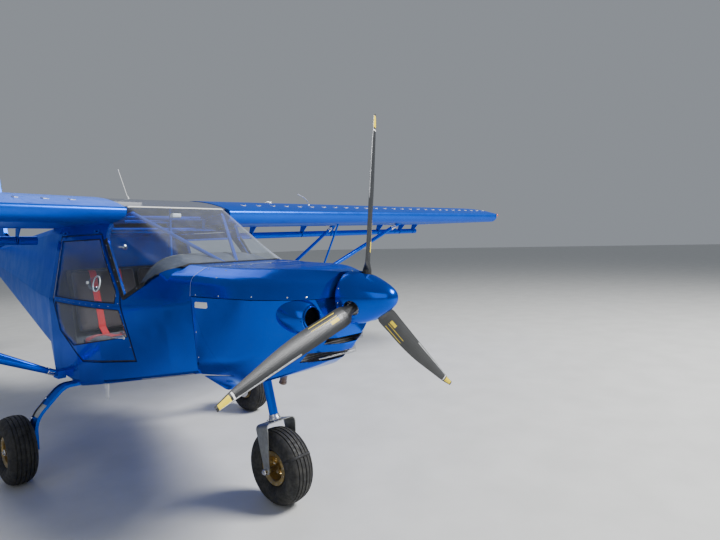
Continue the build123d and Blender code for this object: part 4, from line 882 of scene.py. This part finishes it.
def make_seats():
    low = at(0, 0, PAD_FOOT).z

    def cushion_held(co):
        return co.z < low or sewn(co.x - SEAT_X / 1000, -92, 92) and co.z > low + 0.07

    def back_held(co):
        place = co - BACK_FOOT
        front = place.dot(BACK_FRONT)
        rows = sewn(place.x, -88, 88) or sewn(place.dot(BACK_UP), 420)
        return front < 0.008 or rows and front > 0.06
    pads = {}
    for name, node, held in (("seat_pad", "seat_cushions", cushion_held), ("back_pad", "seat_backs", back_held)):
        port = stuffed(f"{name}_port", node, held)
        pads[name] = (port, other_side(port, f"{name}_starboard"))
        for pad in pads[name]:
            pad.data.materials.clear()
            pad.data.materials.append(seat_cloth)
            smooth = pad.modifiers.new("smooth", "SUBSURF")
            smooth.levels = smooth.render_levels = 1
            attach(pad, "airframe")
            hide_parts(node)
    straps, buckles, piping = forms(3)
    for turn, side in ((0, 1), (1, -1)):
        tree = net((pads["seat_pad"][turn], pads["back_pad"][turn]))
        middle = side * SEAT_X
        foot = BACK_FOOT + PORT * (middle - SEAT_X) / 1000
        for reach in (-88, 88):
            path = [foot + BACK_UP * 0.556 + BACK_FRONT * 0.02 + PORT * reach / 1000]
            path += [foot + BACK_UP * u + BACK_FRONT * 0.085 + PORT * (reach - reach * 0.25 * (0.55 - u)) / 1000
                     for u in (0.55, 0.5, 0.4, 0.3, 0.2, 0.13)]
            path += [at(middle + reach * 0.87, aft, 880) for aft in (-40, -80, -120)]
            ribbon(straps, tree, path, BACK_FRONT, STRAP, 2.8, 10)
            clip, normal = settle(tree, path[3], BACK_FRONT)
            lay_block(buckles, clip + normal * 0.004, (0.052, 0.008, 0.028), 0.0025)
        lap = [at(middle + x, aft, 960) for x, aft in LAP_LINE]
        ribbon(straps, tree, landed(tree, rounded(lap, 4), DOWN), UP, STRAP, 3.4, 10)
        clip, normal = land(tree, at(middle, -150, 1000), DOWN)
        lay_block(buckles, clip + normal * 0.008, (0.062, 0.048, 0.014), 0.004)
        turned(buckles, [(0, 0), (0, 12), (3, 12), (4, 10), (4, 0)], clip + normal * 0.014, UP, 20)
        for z in (773, 832):
            ring = []
            for dx, dy in ((-1, -1), (0, -1), (1, -1), (1, 0), (1, 1), (0, 1), (-1, 1), (-1, 0)):
                corner = 0.955 if dx and dy else 1
                ring.append(at(middle + dx * 214 * corner, -180 + dy * 209 * corner, z))
            path = [settle(tree, p, UP)[0] for p in rounded(ring + ring[:1], 6)]
            tube(piping, path, 0.0032, 8, closed=True)
    pieces("airframe", ("harness_straps", straps, webbing), ("harness_buckles", buckles, bright_metal),
           ("seat_piping", piping, seat_side))


make_seats()


# Each dial's place across and up, and its radius
DIALS = [(x, z, 40) for x in (-345, -250, -155) for z in (1192, 1096)]
DIALS += [(170, 1212, 29), (240, 1206, 29), (170, 1140, 29), (240, 1136, 29), (310, 1180, 29), (310, 1112, 29)]


LIP, ROLL = 0.8, 0.2    # shares of the glareshield up to its lip and rolled down there


def shield(u, v):
    """Glareshield: from the windscreen's foot aft over the panel, then rolled down at its lip."""
    aft = -1128 + 268 * min(v / LIP, 1)
    share = (aft + 1158) / 298
    sill = 1.312 - 0.130 * share
    crest = 1.322 + 0.070 * math.sin(share * math.pi / 2)
    high = sill + (crest - sill) * (1 - abs(2 * u - 1) ** 5)
    if v > LIP:
        drop = (v - LIP) / ROLL
        aft += 10 * math.sin(drop * math.pi / 2) - 4 * drop
        high += (max(1.100, high - 0.115) - high) * drop ** 1.6
    return Vector(((2 * u - 1) * (0.418 + 0.052 * share), at(0, aft, 0).y, high))


def make_panel():
    tree, cabin = landing("instrument_panel"), landing("cabin_shell")
    bezels, faces, hands, boxes, knobs, stitches, grip, boot, cover = forms(9)

    def on_panel(x, z):
        return land(tree, at(x, -700, z), -AFT)[0]
    for x, z, size in DIALS:
        spot = on_panel(x, z)
        turned(bezels, [(-1, size - 6), (-1, size), (3, size), (5, size - 2), (5, size - 5), (1.5, size - 6),
                        (-1, size - 6)], spot, AFT, 36)
        turned(faces, [(-0.5, 0), (-0.5, size - 6), (1.2, size - 6), (1.2, 0)], spot, AFT, 36)
        for turn in around(12):
            out = spoke(turn, PORT)
            tube(hands, [spot + AFT * 0.0014 + out * (size - reach) / 1000 for reach in (14, 9)], 0.0006, 5)
        out = spoke(math.radians(x * 1.7 + z), PORT)
        tube(hands, [spot + AFT * 0.002 - out * 0.006, spot + AFT * 0.002 + out * (size - 16) / 1000], 0.0009, 6)
    for z, wide, high in ((1190, 190, 128), (1078, 160, 46), (1026, 160, 40)):
        spot = on_panel(5, z)
        lay_block(boxes, spot + AFT * 0.004, (wide / 1000, 0.014, high / 1000), 0.004)
        for way in (-1, 1):
            middle = spot + PORT * way * (wide / 2 - 12) / 1000
            turned(knobs, [(10, 0), (10, 7), (20, 6.4), (22, 5), (22, 0)], middle, AFT, 16)
    for number in range(9):
        turned(knobs, [(-1, 0), (-1, 6), (3, 6), (3, 3), (14, 2.6), (17, 3.4), (18, 2), (18, 0)],
               on_panel(-340 + number * 42, 1026), AFT, 12)
    lay(cover, 48, 25, shield, UP)
    thicken(piece("glareshield", cover, glare_trim, "airframe", "dark_trim", 2.0), 0.006, -1)
    for row in (0.74, 0.78):
        tube(stitches, [shield(n / 60, row) + UP * 0.0008 for n in range(3, 58)], 0.0016, 6)
    turned(grip, [(-52, 0), (-52, 13), (-46, 17.3), (-20, 18.6), (0, 17.6), (20, 18.6), (40, 18), (52, 15), (58, 8),
                  (58, 0)], at(0, -500, 982), (at(0, -496, 1030) - at(0, -505, 930)).normalized(), 24)
    turned(boot, [(0, 0), (0, 62), (8, 60), (14, 50), (22, 52), (30, 40), (38, 42), (48, 28), (60, 26), (66, 14),
                  (66, 0)], *landed(cabin, [at(0, -471, 745)], DOWN), UP, 32)
    pieces("airframe", ("glareshield_stitching", stitches, black_trim), ("dial_bezels", bezels, black_trim),
           ("dial_faces", faces, dial_face), ("dial_hands", hands, white_mark), ("panel_boxes", boxes, dial_face),
           ("panel_knobs", knobs, bright_metal), ("stick_grip", grip, black_trim, "dark_trim"),
           ("stick_boot", boot, seal_rubber))


make_panel()


# Wings and struts ---------------------

OVER_WING, UNDER_WING = 1950, 1400      # heights from which lines are dropped or raised onto the wing
# Both ends of each strut as (x, aft, height), and its half width
STRUTS = (((562, 120, 600), (2690, -270, 1602), 19), ((562, 150, 596), (2360, 380, 1606), 16))
JURY_X = 1700           # where the jury struts are clamped on
# Sections round a strut, as (distance along it, height above its skin)
SLEEVE = ((0, -1), (0, 1.5), (4, 3), (62, 3), (66, 1.5), (66, -1))
CLAMP = ((-16, -1), (-16, 2.6), (16, 2.6), (16, -1))
FOOT = ((0, -1), (0, 3), (44, 2), (48, -1))


def make_vortex_tabs(tree, side):
    """Pairs of small upright tabs on their base plates along the wing's nose."""
    def over(x, aft):
        return at(side * x, aft, OVER_WING + x * WING_RISE)
    tabs = bmesh.new()
    for x in range(610, 4329, 143):
        for turn in (-16, 16):
            spot, normal = land(tree, over(x + turn, -400), DOWN)
            aim = spoke(math.radians(turn) * side, PORT, AFT)
            form = grid(1, 1, lambda u, v: spot + aim * (0.028 * u - 0.014)
                        + normal * (v * (0.003 + 0.008 * u) - 0.0005))
            bmesh.ops.solidify(form, geom=form.faces[:], thickness=0.0012)
            absorb(tabs, form)
        patch(tabs, 3, 3, lambda u, v: land(tree, over(x - 24 + 48 * u, -416 + 32 * v), DOWN), UP, 0.6)
    return tabs


def make_strut_fittings(tree, side):
    """Sleeves, clamps, feet and bolts of the struts, and the plates that carry them under the wing."""
    bolts, plates = forms(2)
    for low, high, half in STRUTS:
        start, end = at(side * low[0], *low[1:]), at(side * high[0], *high[1:])
        aim = (end - start).normalized()
        across, look = aim.cross(PORT * side).normalized(), aim.cross(AFT).normalized()

        def cuff(section, middle):
            turned(bolts, [(s, half + over) for s, over in section + section[:1]], middle, aim, 28)
        sleeve = end - aim * 0.105
        cuff(SLEEVE, sleeve)
        for reach, way in ((0.018, 1), (0.018, -1), (0.048, 1), (0.048, -1)):
            hex_head(bolts, sleeve + aim * reach + across * way * (half + 2.6) / 1000, across * way, 10, 5)
        spot, _ = land(tree, end - aim * 0.05 - UP * 0.2, UP)
        patch(plates, 6, 4, lambda u, v: land(tree, spot + Vector((-0.07 + 0.14 * u, -0.04 + 0.08 * v, -0.1)), UP),
              DOWN, 2.4)
        for x, aft in ((-0.058, -0.028), (-0.058, 0.028), (0.058, -0.028), (0.058, 0.028)):
            place, down = land(tree, spot + Vector((x, aft, -0.1)), UP)
            hex_head(bolts, place + down * 0.0022, down, 9, 4)
        clamp = start.lerp(end, (JURY_X - low[0]) / (high[0] - low[0]))
        cuff(CLAMP, clamp)
        for reach in (0.008, -0.008):
            hex_head(bolts, clamp + aim * reach + look * (half + 2.4) / 1000, look, 8, 4)
        cuff(FOOT, start + aim * 0.05)
    return bolts, plates


def make_wings():
    rows = []
    for face, lines in (((OVER_WING, DOWN), (-470, -300, 60, 380, 570)),
                        ((UNDER_WING, UP), (-440, -300, 60, 380, 560))):
        rows += lattice((400, 4320), lines, (-520, 590), range(440, 4221, 420), [face], WING_RISE)
    for side, word in SIDES:
        tree = landing(f"wing_{word}")

        def over(x, aft, high=OVER_WING):
            return at(side * x, aft, high + x * WING_RISE)
        rivet(f"wing_studs_{word}", "airframe", [(f"wing_{word}", rows)], 48, 2.4, (side,))
        laps, caps, covers, lamp, glow = forms(5)
        for high, aim in ((OVER_WING, DOWN), (UNDER_WING, UP)):
            for x in (860, 1700, 2540, 3380):
                line = landed(tree, [over(x + 13, aft, high) for aft in range(-540, 600, 30)], aim)
                ribbon(laps, tree, line, -aim, 30, 0.7, 30)
        spot, normal = land(tree, over(1050, -150), DOWN)
        turned(caps, [(-1, 0), (-1, 42), (2, 42), (3.5, 39), (3.5, 33), (6, 31), (9, 29), (9, 0)], spot, normal, 36)
        for reach in (-0.008, 0.008):
            tube(caps, [spot + normal * 0.010 + PORT * way * 0.018 + AFT * reach for way in (-1, 1)], 0.0025, 8)
        fittings, plates = make_strut_fittings(tree, side)
        for x in (1300, 2200, 3100, 3900):
            spot, normal = land(tree, over(x, 200, UNDER_WING), UP)
            turned(covers, [(-0.5, 0), (-0.5, 62), (0.8, 62), (1.4, 60), (1.4, 0)], spot, normal, 36)
            for turn in around(6):
                edge = spot + spoke(turn, PORT, AFT) * 0.053
                dome_screw(fittings, settle(tree, edge, normal)[0] + normal * 0.0014, normal, 3)
        spot, normal = land(tree, over(4395, -800, 1662), AFT)
        turned(lamp, [(-4, 0), (-4, 24), (2, 24), (4, 21), (4, 0)], spot, normal, 28)
        turned(glow, [(3, 0), (3, 18), (9, 17), (15, 12), (18, 5), (18.5, 0)], spot, normal, 28)
        pieces("airframe", ("vortex_tabs", make_vortex_tabs(tree, side), white_mark),
               ("wing_laps", laps, sheet_blue, "alloy_blue"), ("fuel_cap", caps, bare_alloy),
               ("wing_covers", covers, sheet_blue, "alloy_blue"), ("strut_plates", plates, bare_alloy),
               ("strut_fittings", fittings, bright_metal), ("tip_lamp_base", lamp, bare_alloy),
               ("tip_lamp", glow, red_lens if side > 0 else green_lens), word=word)


make_wings()


# Gear, antennas and tail --------------

TIE_TURN = 29           # degrees above the front of the nose tyre
LEG_LEAN = 15           # degrees that the nose leg leans aft
BRAKE_LINE = ((300, 566), (450, 563), (590, 556), (660, 512), (720, 455), (764, 400), (786, 330), (789, 262))


def make_gear():
    tree = landing("gear_leaf")
    bare, lines, bolts, collar, steering_bolts, tie = forms(6)
    for side, _ in SIDES:
        out = PORT * side
        look = (out + UP * 0.35).normalized()
        path = [at(side * x, 0, z) for x, z in ((700, 462), (724, 436), (745, 412), (762, 386))]
        patch(bare, 24, 8, lambda u, v: settle(tree, along(path, u)[0] + look * 0.03 + AFT * (v - 0.5) * 0.108, look),
              look, 1)
        pipe = [settle(tree, at(side * x, 30, z), look)[0] + look * 0.004 for x, z in BRAKE_LINE]
        tube(lines, rounded(pipe, 5), 0.0032, 8)
        for x, z in ((520, 562), (690, 484), (772, 372), (788, 300)):
            spot, normal = settle(tree, at(side * x, 30, z), look)
            lay_block(bolts, spot + normal * 0.004, (0.012, 0.014, 0.010), 0.002)
        for back in (-1, 1):
            for way in (-1, 1):
                hex_head(bolts, at(side * (410 + 22 * way), 36 * back, 539), DOWN, 12, 6)
                hex_head(bolts, at(side * 790, 28 * back, AXLE_Z + 28 * way), out, 10, 5)
        turned(steering_bolts, [(0, 0), (0, 17), (9, 17), (11, 14), (11, 0)], at(side * 110, AXLE_AFT, AXLE_Z), out, 6)
    lean = math.radians(LEG_LEAN)
    up, ahead = spoke(lean), spoke(lean, -UP, AFT)
    crown = at(0, -1453, 456)
    turned(collar, [(3, 24), (3, 34), (14, 34), (20, 30), (34, 28), (36, 24), (3, 24)], crown, up, 36)
    for turn in around(4, 45):
        hex_head(steering_bolts, crown + up * 0.005 + spoke(turn, ahead, PORT) * 0.042, up, 9, 5)
    turn = math.radians(TIE_TURN)
    out, way = spoke(turn, UP, -AFT), spoke(turn)
    half = [(w + 0.5, r + 0.5) for w, r in TYRE_HALF if 97 <= r <= 203 and w >= 46 and r != 198.6]
    half += [(30, 208.2), (12, 210)]
    path = [at(w, AXLE_AFT, AXLE_Z) + out * r / 1000 for w, r in half + [(-w, r) for w, r in reversed(half)]]
    lay(tie, len(path) - 1, 1, lambda u, v: path[round(u * (len(path) - 1))] + way * (v - 0.5) * 0.016, out)
    pieces("airframe", ("gear_bare_patch", bare, bare_alloy, "metal"), ("brake_lines", lines, black_trim),
           ("gear_bolts", bolts, bright_metal))
    pieces("nose_steering", ("nose_leg_collars", collar, bare_alloy), ("nose_gear_bolts", steering_bolts, bright_metal))
    thicken(piece("tyre_tie", tie, seal_rubber, "nose_wheel", crease=2.0), 0.0022, 0)


make_gear()


def make_small_parts():
    roof, belly = landing("roof_deck", "wing_port", "wing_starboard"), landing("cabin_shell")
    bases, boot, bolts, vent = forms(4)
    foot, top = at(0, 175, 1768), at(0, 350, 2040)
    turned(boot, [(-1, 0), (-1, 34), (3, 33), (10, 24), (26, 17), (40, 14), (46, 9), (46, 0)],
           *land(roof, at(0, 175, OVER_WING), DOWN), 32)
    whip = (top - at(0, 175, 1755)).normalized()
    turned(bases, [(20, 0), (20, 7), (62, 5), (66, 3.4), (66, 0)], foot, whip, 16)
    turned(bases, [(-3, 0), (-3, 4.6), (4, 4.6), (6, 2), (6, 0)], top - whip * 0.004, whip, 12)
    patch(bases, 6, 6, lambda u, v: land(belly, at(-522 + 44 * u, -520 + 100 * v, 400), UP), DOWN, 3)
    for aft in (-508, -432):
        place, down = land(belly, at(-500, aft, 400), UP)
        dome_screw(bolts, place + down * 0.003, down, 3.5)
    line = [at(1375, -300, 1772), at(1372, -300, 1788), at(1350, -300, 1815), at(1310, -298, 1838),
            at(1255, -296, 1858)]
    tube(vent, rounded(line, 6), 0.0035, 8)
    turned(vent, [(-1, 0), (-1, 9), (6, 7), (9, 4.5), (9, 0)],
           *land(landing("wing_port"), at(1376, -300, OVER_WING), DOWN), 16)
    pieces("airframe", ("antenna_boot", boot, seal_rubber), ("antenna_bases", bases, white_paint, "paint_white"),
           ("antenna_screws", bolts, bright_metal), ("tank_vent", vent, bare_alloy))


make_small_parts()


TAIL_FRONT, TAIL_REAR = 640, 3780       # ends of the tail cone
TAIL_FACES = ((1800, DOWN), (1300, UP))


def make_tail():
    def taper(front, rear, aft):
        return front + (rear - front) * (aft - TAIL_FRONT) / (TAIL_REAR - TAIL_FRONT)

    def level(aft, share):
        low, top = taper(850, 1236, aft), taper(1545, 1432, aft)
        return low + (top - low) * share
    end = TAIL_REAR - 40
    rows = [(*((700, aft, level(aft, share)) for aft in (a, min(a + 220, end))), INWARD)
            for share in (0, 0.48, 1) for a in range(660, end, 220)]
    for aft in range(700, end, 380):
        half = taper(470, 50, aft)
        rows.append(((700, aft, level(aft, 0)), (700, aft, level(aft, 1)), INWARD))
        rows.append(((0, aft, 300), (half * 0.8, aft, 300), UP))
        if aft > 900:
            rows.append(((0, aft, 1900), (half * 0.7, aft, 1900), DOWN))
    rivet("tail_cone_studs", "airframe", [("tail_cone", rows)], 44, 2.4)
    plane = lattice((60, 1235), (3400, 3560, 3700), (3370, 3720), (300, 620, 940, 1225), TAIL_FACES)
    fin = [((400, 3430 + (z - 1640) * 0.28 if z > 1640 else 3380, z), (400, 3775, z), INWARD)
           for z in (1620, 1850, 2080, 2300, 2490)]
    fin.append(((400, 3770, 1600), (400, 3770, 2500), INWARD))
    rivet("tail_studs", "airframe", [("tailplane", plane), ("fin", fin)])
    rows = lattice((330, 1235), (3800,), (3800, 4100), (240, 620, 940, 1225), TAIL_FACES)
    rivet("elevator_studs", "elevator_surface", [("elevator", rows)])
    rows = [((400, 3850, z), (400, 4235, z), INWARD) for z in (1260, 1500, 1750, 2000, 2250, 2530)]
    rows.append(((400, 3850, 1260), (400, 3850, 2530), INWARD))
    rivet("rudder_studs", "rudder_surface", [("rudder", rows)])
    rows = lattice((530, 4210), (632, 840), (640, 850), range(560, 4161, 400), ((1900, DOWN), (1200, UP)))
    for side, word in SIDES:
        rivet(f"flaperon_studs_{word}", f"{word}_flaperon", [(f"flaperon_{word}", rows)], sides=(side,))


make_tail()


# Camera and studio --------------------

def make_camera():
    yaw, pitch, roll = (math.radians(a) for a in (CAMERA_YAW, CAMERA_PITCH, CAMERA_ROLL))
    ahead = Vector((math.sin(yaw) * math.cos(pitch), math.cos(yaw) * math.cos(pitch), math.sin(pitch)))
    level = spoke(yaw, -AFT, PORT)
    up = level.cross(ahead)
    right, up = spoke(roll, up, level), spoke(roll, -level, up)
    data = bpy.data.cameras.new("camera")
    data.lens = LENS_PX / FRAME_PX * SENSOR
    data.sensor_width = SENSOR
    camera = bpy.data.objects.new("camera", data)
    turn = Matrix((right, up, -ahead)).transposed().to_4x4()
    camera.matrix_world = Matrix.Translation(CAMERA_AT) @ turn
    bpy.context.collection.objects.link(camera)
    bpy.context.scene.camera = camera


def make_studio():
    bm = bmesh.new()
    bmesh.ops.create_grid(bm, x_segments=1, y_segments=1, size=60)
    floor = set_out("floor", bm)
    mat, tree, shader = new_finish("floor_paint", (0.62, 0.62, 0.60), 0, 0.6)
    feed(tree, shader, {"Base Color": two_tone(tree, spread(tree, grain(tree, 3, 5), 0, 1), (0.62, 0.62, 0.60),
                                               (0.57, 0.57, 0.55))})
    floor.data.materials.append(mat)
    world = bpy.data.worlds.new("studio")
    world.use_nodes = True
    world.node_tree.nodes["Background"].inputs[0].default_value = (0.8, 0.86, 0.95, 1)
    world.node_tree.nodes["Background"].inputs[1].default_value = 0.34
    bpy.context.scene.world = world
    for name, place, target, size, power in (
            ("key", (5.5, -9, 9), (0, -2, 1), 4, 2900), ("fill", (-9, -8, 5), (0, -1, 1), 7, 180),
            ("rear", (2, 9, 9), (0, 0, 1), 7, 300)):
        data = bpy.data.lights.new(name, "AREA")
        data.size = size
        data.energy = power
        lamp = bpy.data.objects.new(name, data)
        lamp.location = place
        lamp.rotation_euler = (Vector(target) - Vector(place)).to_track_quat("-Z", "Y").to_euler()
        bpy.context.collection.objects.link(lamp)


make_camera()
make_studio()
